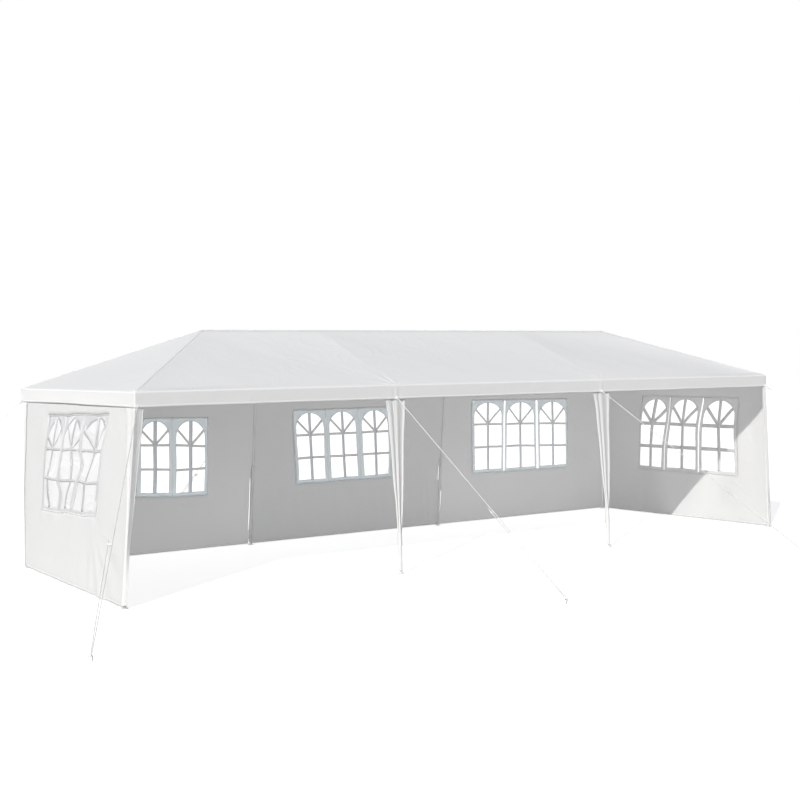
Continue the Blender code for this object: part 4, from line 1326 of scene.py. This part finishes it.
def buildRope(column, row):
    sign = -1 if row == "front" else 1
    knot = ropeTab(column, row, sign)
    pull = np.array([*ropes["offsets"][f"{row}_{column}"], 0])
    foot = np.array([legColumns[column], sign * halfDepth, 0.001]) + pull
    head = foot + unit(pull) * ropes["pegSlant"] + [0, 0, ropes["pegHeight"]]
    eye = head - [0, 0, 0.008]
    run = unit(eye - knot)
    across = unit(np.cross(run, [0, 0, 1]))
    lift = np.cross(across, run)
    slider = knot + run * np.linalg.norm(eye - knot) * ropes["sliderAt"]
    beside, nearPeg = across * ropes["spacing"], across * ropes["pegSpacing"]
    knotAt = slider + beside - run * (ropes["sliderHalf"] + 0.013)
    tail = linePath(knotAt - run * 0.002, knotAt - run * 0.026 + lift * 0.004, 0.004)
    cord = [twistedCord(ropePath(knot, eye, run, lift, nearPeg, knotAt), lift, ropes["radius"]),
            sweep(knotPath(knot, run, 0.0068), circle(0.0036, 8), lift, closed=True),
            sweep(knotPath(knotAt, run, 0.0062), circle(0.0034, 8), lift, closed=True),
            twistedCord(tail, lift, ropes["radius"] * 0.95)]
    addPiece(f"rope_{row}_{column}", cord, ropeCord, replaces=(f"guy_rope_{row}_{column}",))
    addPiece(f"rope_slider_{row}_{column}", ropeSlider(slider, beside, run, lift, across), steel["slider_plastic"],
             sharp=50)
    addPiece(f"rope_peg_{row}_{column}", ropePeg(foot, head, eye, across), steel["zinc_steel"],
             sharp=50)


for legRow in legRows:
    for legColumn in legColumns:
        buildRope(legColumn, legRow)
print("guy ropes tied")


# Frame: steel tubes with their push-fit fittings, spring buttons and foot plates

tubes = {
    "radius": 0.0125, "sleeve": 0.0155, "stub": 0.0150,       # of the tubes and of the fittings over them
    "reach": 0.09, "legSleeve": 0.17, "heel": 0.005,          # how far the sleeves run down, and back past the middle
    "sides": 28, "rim": 0.0008,
    "swage": 0.0007,        # how much wider the joint in the middle of a tube is
    "button": 0.0035,
    "footRadius": 0.036, "footThickness": 0.004,
}
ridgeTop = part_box("ridge_pole")[1].z - tubes["sleeve"]
ridgeHalf = halfLength - halfDepth
columnNames = list(legColumns)


def turnedTube(start, end, profile):
    # a round bar whose radius follows the profile's pairs of (place, radius), which are worked out for its length. On
    # a very short one a place before its start is counted back from its end
    start, end = np.asarray(start, float), np.asarray(end, float)
    length = np.linalg.norm(end - start)
    rows = [(radius, place if place >= 0 else length + place) for place, radius in profile(length)]
    return turned(rows, tubes["sides"], start, end - start)


def plainTube(start, end):
    radius, rim = tubes["radius"], tubes["rim"]

    def profile(length):
        middle = [(length * t, radius) for t in np.linspace(0.02, 0.98, 9)]
        return [(0, 0.0001), (0, radius - rim), (rim, radius), *middle, (length - rim, radius),
                (length, radius - rim), (length, 0.0001)]
    return turnedTube(start, end, profile)


def sleeveTube(start, end, radius):
    # a fitting's sleeve: a bell mouth rolled at its open end and two pressed rings
    def profile(length):
        return [(0, 0.0001), (0, radius - 0.001), (0.001, radius), (length * 0.30, radius),
                (length * 0.33, radius - 0.0007), (length * 0.36, radius), (length - 0.016, radius),
                (length - 0.012, radius - 0.0007), (length - 0.008, radius), (length - 0.003, radius + 0.0003),
                (length - 0.0008, radius + 0.0001), (length, radius - 0.0008), (length, 0.0001)]
    return turnedTube(start, end, profile)


def springButton(at, outward):
    # the domed pin that snaps through a hole in the tube: a flat collar under part of a squashed ball
    radius = tubes["button"]
    profile = [(radius * 1.5, -0.0005), (radius * 1.5, 0.0004), (radius * 1.25, 0.0006), (radius, 0.0006)]
    profile += [(max(radius * math.cos(a), 0.0001), 0.0006 + radius * 0.8 * math.sin(a))
                for a in np.linspace(0, math.pi / 2, 6)]
    return turned(profile, 16, at, outward)


def buttonUnder(at, drop):
    return springButton(at + [0, 0, -drop], (0, 0, -1))


def toward(start, end, distance):
    start, end = np.asarray(start, float), np.asarray(end, float)
    return start + unit(end - start) * distance


def sleeveFrom(start, end, reach, radius, heel=0.0):
    return sleeveTube(toward(start, end, -heel) if heel else start, toward(start, end, reach), radius)


def crownOf(column):
    x = legColumns[column]
    return np.array([math.copysign(min(abs(x), ridgeHalf), x), 0, ridgeTop])


def topOf(column, row):
    return np.array([legColumns[column], legRows[row], tubeHeight])


def addSteel(name, parts, replaced):
    addPiece(name, parts, steel["coated_steel_skin"], replaces=(replaced,), sharp=40)


def footPlate(foot):
    # a dished plate with a rolled edge and a socket, and four rivets
    plate, thick = tubes["footRadius"], tubes["footThickness"]
    dish = [(0.0001, 0), (plate - 0.0015, 0), (plate, 0.0012), (plate, thick - 0.001), (plate - 0.001, thick),
            (plate - 0.006, thick), (plate - 0.008, thick - 0.0008), (plate - 0.014, thick - 0.0006), (0.0185, thick),
            (0.0150, thick + 0.002), (0.0132, thick + 0.006), (0.0127, thick + 0.010), (0.0120, thick + 0.0105)]
    rivet = [(0.0036, 0), (0.0038, 0.0007), (0.0030, 0.0011), (0.0024, 0.0004), (0.0001, 0.0003)]
    parts = [turned(dish, 40, foot)]
    for turn in (0.7, 2.4, 4.0, 5.5):
        at = foot + [0.026 * math.cos(turn), 0.026 * math.sin(turn), thick - 0.0009]
        parts.append(turned(rivet, 14, at))
    return parts


def buildLeg(column, row):
    top = topOf(column, row)
    foot = np.array([top[0] + footKick(column, row), top[1], 0.0])
    shoulder = np.array([top[0], top[1], valanceFoot])
    radius, heel = tubes["radius"], tubes["heel"]
    parts = [plainTube(foot + [0, 0, 0.001], shoulder),
             sleeveFrom(top, shoulder, tubes["legSleeve"], tubes["sleeve"], heel)]
    place = columnNames.index(column)
    ends = [topOf(columnNames[near], row) for near in (place - 1, place + 1) if 0 <= near < len(columnNames)]
    if column in ("left", "right"):
        ends.append(topOf(column, "back" if row == "front" else "front"))
    ends.append(crownOf(column))
    for end in ends:
        parts.append(sleeveFrom(top, end, tubes["reach"], tubes["stub"], heel))
        parts.append(buttonUnder(toward(top, end, 0.070), tubes["stub"]))
    inward = np.array([0, -np.sign(top[1]), 0])
    joint = toward(foot, shoulder, 0.90)
    parts.append(springButton(toward(top, shoulder, 0.140) + inward * tubes["sleeve"], inward))
    parts.append(springButton(toward(foot, shoulder, 0.92) + inward * radius, inward))
    parts.append(sleeveFrom(joint, foot, 0.004, radius + 0.0004))
    addSteel(f"pole_{row}_{column}", parts + footPlate(foot), f"leg_{row}_{column}")


def buildTube(node, start, end):
    # a tube between two fittings, whose halves join in the middle
    seat, wide = tubes["reach"] + 0.0003, tubes["radius"] + tubes["swage"]
    a, b = toward(start, end, seat), toward(end, start, seat)
    middle = (a + b) / 2
    parts = [plainTube(a, b)] + [sleeveFrom(middle, way, 0.055, wide) for way in (a, b)]
    parts.append(buttonUnder(toward(middle, a, 0.035), wide))
    addSteel(f"{node}_round", parts, node)


def buildRidge():
    half = ridgeHalf - tubes["reach"] / 2
    parts = [plainTube((-half, 0, ridgeTop), (half, 0, ridgeTop))]
    for column in columnNames:
        crown = crownOf(column)
        inward = np.array([-np.sign(crown[0]), 0, 0])
        heel = 0.0025 if column in ("left", "right") else tubes["reach"]
        parts.append(sleeveTube(crown, crown + inward * tubes["reach"], tubes["sleeve"]))
        parts.append(sleeveTube(crown, crown - inward * heel, tubes["sleeve"]))
        parts.append(buttonUnder(crown + inward * 0.07, tubes["sleeve"]))
        for row in legRows:
            end = toward(crown, topOf(column, row), tubes["reach"])
            parts.append(sleeveTube(crown, end, tubes["stub"]))
            parts.append(buttonUnder(toward(crown, end, 0.070), tubes["stub"] / roofCos))
    addSteel("ridge_round", parts, "ridge_pole")


def buildFrame():
    for row in legRows:
        for column in columnNames:
            buildLeg(column, row)
        for a, b, label in zip(columnNames, columnNames[1:], ("left", "middle", "right")):
            buildTube(f"eave_tube_{row}_{label}", topOf(a, row), topOf(b, row))
        for column in columnNames:
            kind = "hip_rafter" if column in ("left", "right") else "rafter"
            buildTube(f"{kind}_{row}_{column}", topOf(column, row), crownOf(column))
    for end in ("left", "right"):
        buildTube(f"eave_tube_{end}_end", topOf(end, "front"), topOf(end, "back"))
    buildRidge()


buildFrame()
print("frame tubes turned")


# The floor, the light and the camera

light = {
    "sun": 3.5, "sunSoftness": 1.0, "sky": 0.12, "backGlow": 1.3, "rightGlow": 1.1,
    "sunPath": (2.5, 1.68, -1.86), "sunTone": (1.0, 0.988, 0.968),
    "glowSoftness": 30.0,   # of the broad lamps that stand in for light from all round
    "endSun": 2.35,         # on the right end wall alone, which the cloth overhead half shades
    "endSunAway": 30.0, "endSunSpread": 170.0,
    "shadeLine": ((4.508, -1.487, 1.6215), (4.54, 0.226, 0.005)),   # where the sunlight ends on that wall
    "insideGlow": 0.87,     # stands in for the daylight that the cloth overhead lets through
    "lawnGlow": {"back_left": 11.5, "back_middle": 6.5, "back_right": 12.0, "right_end": 7.0},  # from the ground
    "lawnStrip": (8.8, 0.5), "lawnPlaces": {"back": (0, 0.3, 0.25), "right": (3.3, 0, 0.25)},
    "skyTone": (0.82, 0.94, 1.16, 1),
    "floorGlow": 0.80,      # how much the floor shines towards the camera alone
    "floorHalf": 60, "floorDrop": 0.001,
}


def buildStage():
    half, drop = light["floorHalf"], light["floorDrop"]
    mesh = bpy.data.meshes.new("floor")
    corners = [(x * half, y * half, -drop) for x, y in ((-1, -1), (1, -1), (1, 1), (-1, 1))]
    mesh.from_pydata(corners, [], [[0, 1, 2, 3]])
    newObject("floor", mesh)
    finish, tree, sockets = startFinish("floor_finish", {"Roughness": 0.9, "Base Color": (0.60, 0.60, 0.60, 1),
                                                         "Emission Color": (1, 1, 1, 1)})
    seen = addNode(tree, "LightPath").outputs["Is Camera Ray"]
    tree.links.new(math2(tree, "MULTIPLY", seen, light["floorGlow"]), sockets["Emission Strength"])
    mesh.materials.append(finish)


def addSun(name, travel, strength, softness, shadow=True, color=(1, 1, 1)):
    lamp = bpy.data.lights.new(name, "SUN")
    lamp.energy, lamp.color, lamp.use_shadow = strength, color, shadow
    lamp.angle = math.radians(softness)
    return newObject(name, lamp, travel=travel)


def addEndSun():
    # sunlight on the right end wall: a far lamp with so wide a cone that its edge is all but a plane, turned until
    # that plane passes through the shade line
    first, last = (Vector(point) for point in light["shadeLine"])
    travel = Vector(light["sunPath"]).normalized()
    place = (first + last) / 2 - travel * light["endSunAway"]
    litSide = (last - place).cross(first - place).normalized()
    litSide = litSide if litSide.y < 0 else -litSide
    half = math.radians(light["endSunSpread"] / 2)
    lamp = bpy.data.lights.new("end_sun", "SPOT")
    lamp.energy = light["endSun"] * 4 * math.pi * light["endSunAway"] ** 2
    lamp.color = light["sunTone"]
    lamp.spot_size, lamp.spot_blend, lamp.shadow_soft_size = 2 * half, 0.0008, 0.02
    return newObject("end_sun", lamp, place, travel * math.cos(half) + litSide * math.sin(half))


def linkLight(lamp, wanted):
    # the lamp lights only the pieces whose names pass the test
    lit = bpy.data.collections.new(f"lit_by_{lamp.name}")
    for piece in bpy.context.scene.objects:
        if piece.type == "MESH" and not piece.hide_render and wanted(piece.name):
            lit.objects.link(piece)
    lamp.light_linking.receiver_collection = lit


def addLawnGlow(label, power):
    # a low bright strip along one wall, seen by that wall alone
    lamp = bpy.data.lights.new(f"lawn_glow_{label}", "AREA")
    lamp.shape, (lamp.size, lamp.size_y) = "RECTANGLE", light["lawnStrip"]
    lamp.energy, lamp.use_shadow = power, False
    side = label.split("_")[0]
    glow = newObject(lamp.name, lamp, light["lawnPlaces"][side], (*planOf(side, 0, 1), 0), "Z")
    linkLight(glow, lambda name: name.endswith(label))


def buildLight():
    world = bpy.data.worlds.new("studio")
    bpy.context.scene.world = world
    world.use_nodes = True
    tree = world.node_tree
    background = tree.nodes["Background"].inputs
    seen = addNode(tree, "LightPath").outputs["Is Camera Ray"]
    tree.links.new(remap(tree, seen, light["sky"], 1.0), background["Strength"])
    tree.links.new(mixed(tree, seen, light["skyTone"], (1, 1, 1, 1)), background["Color"])
    sun = addSun("sun", light["sunPath"], light["sun"], light["sunSoftness"], color=light["sunTone"])
    linkLight(sun, lambda name: not name.endswith("right_end"))
    linkLight(addEndSun(), lambda name: name.endswith("right_end"))
    for piece in bpy.context.scene.objects:
        piece.visible_shadow = not piece.name.startswith("rope_")
    addSun("back_glow", (0, -1, 0.05), light["backGlow"], light["glowSoftness"])
    addSun("right_glow", (-1, 0, 0.03), light["rightGlow"], light["glowSoftness"])
    glow = addSun("inside_glow", (0.90, 1.0, -0.05), light["insideGlow"], light["glowSoftness"], shadow=False)
    insides = ("wall_", "window_", "pole_back", "eave_", "rafter_", "hip_", "ridge_", "drape_back")
    linkLight(glow, lambda name: name.startswith(insides) and "left_end" not in name)
    for label, power in light["lawnGlow"].items():
        addLawnGlow(label, power)


view = {
    "place": (-9.5689, -12.5763, 2.2689),
    "yaw": -34.02, "pitch": -1.732, "roll": -0.756,
    "lens": 1298.59 * 36 / 800,       # the fitted focal length in pixels, over a picture 800 pixels wide
    "shift": 0.0625,
}


def buildCamera():
    # placed and turned by the fit to the photograph's legs, eaves and ridge
    yaw, pitch, roll = (math.radians(view[turn]) for turn in ("yaw", "pitch", "roll"))
    look = Vector((-math.sin(yaw) * math.cos(pitch), math.cos(yaw) * math.cos(pitch), math.sin(pitch)))
    level = Vector((math.cos(yaw), math.sin(yaw), 0))
    rise = level.cross(look)
    right = math.cos(roll) * level + math.sin(roll) * rise
    up = math.cos(roll) * rise - math.sin(roll) * level
    data = bpy.data.cameras.new("camera")
    data.sensor_width, data.lens, data.shift_x = 36, view["lens"], view["shift"]
    camera = newObject("camera", data)
    camera.matrix_world = Matrix.Translation(view["place"]) @ Matrix((right, up, -look)).transposed().to_4x4()
    bpy.context.scene.camera = camera


buildStage()
buildLight()
buildCamera()
bpy.context.scene.view_settings.view_transform = "Standard"
print("scene set")
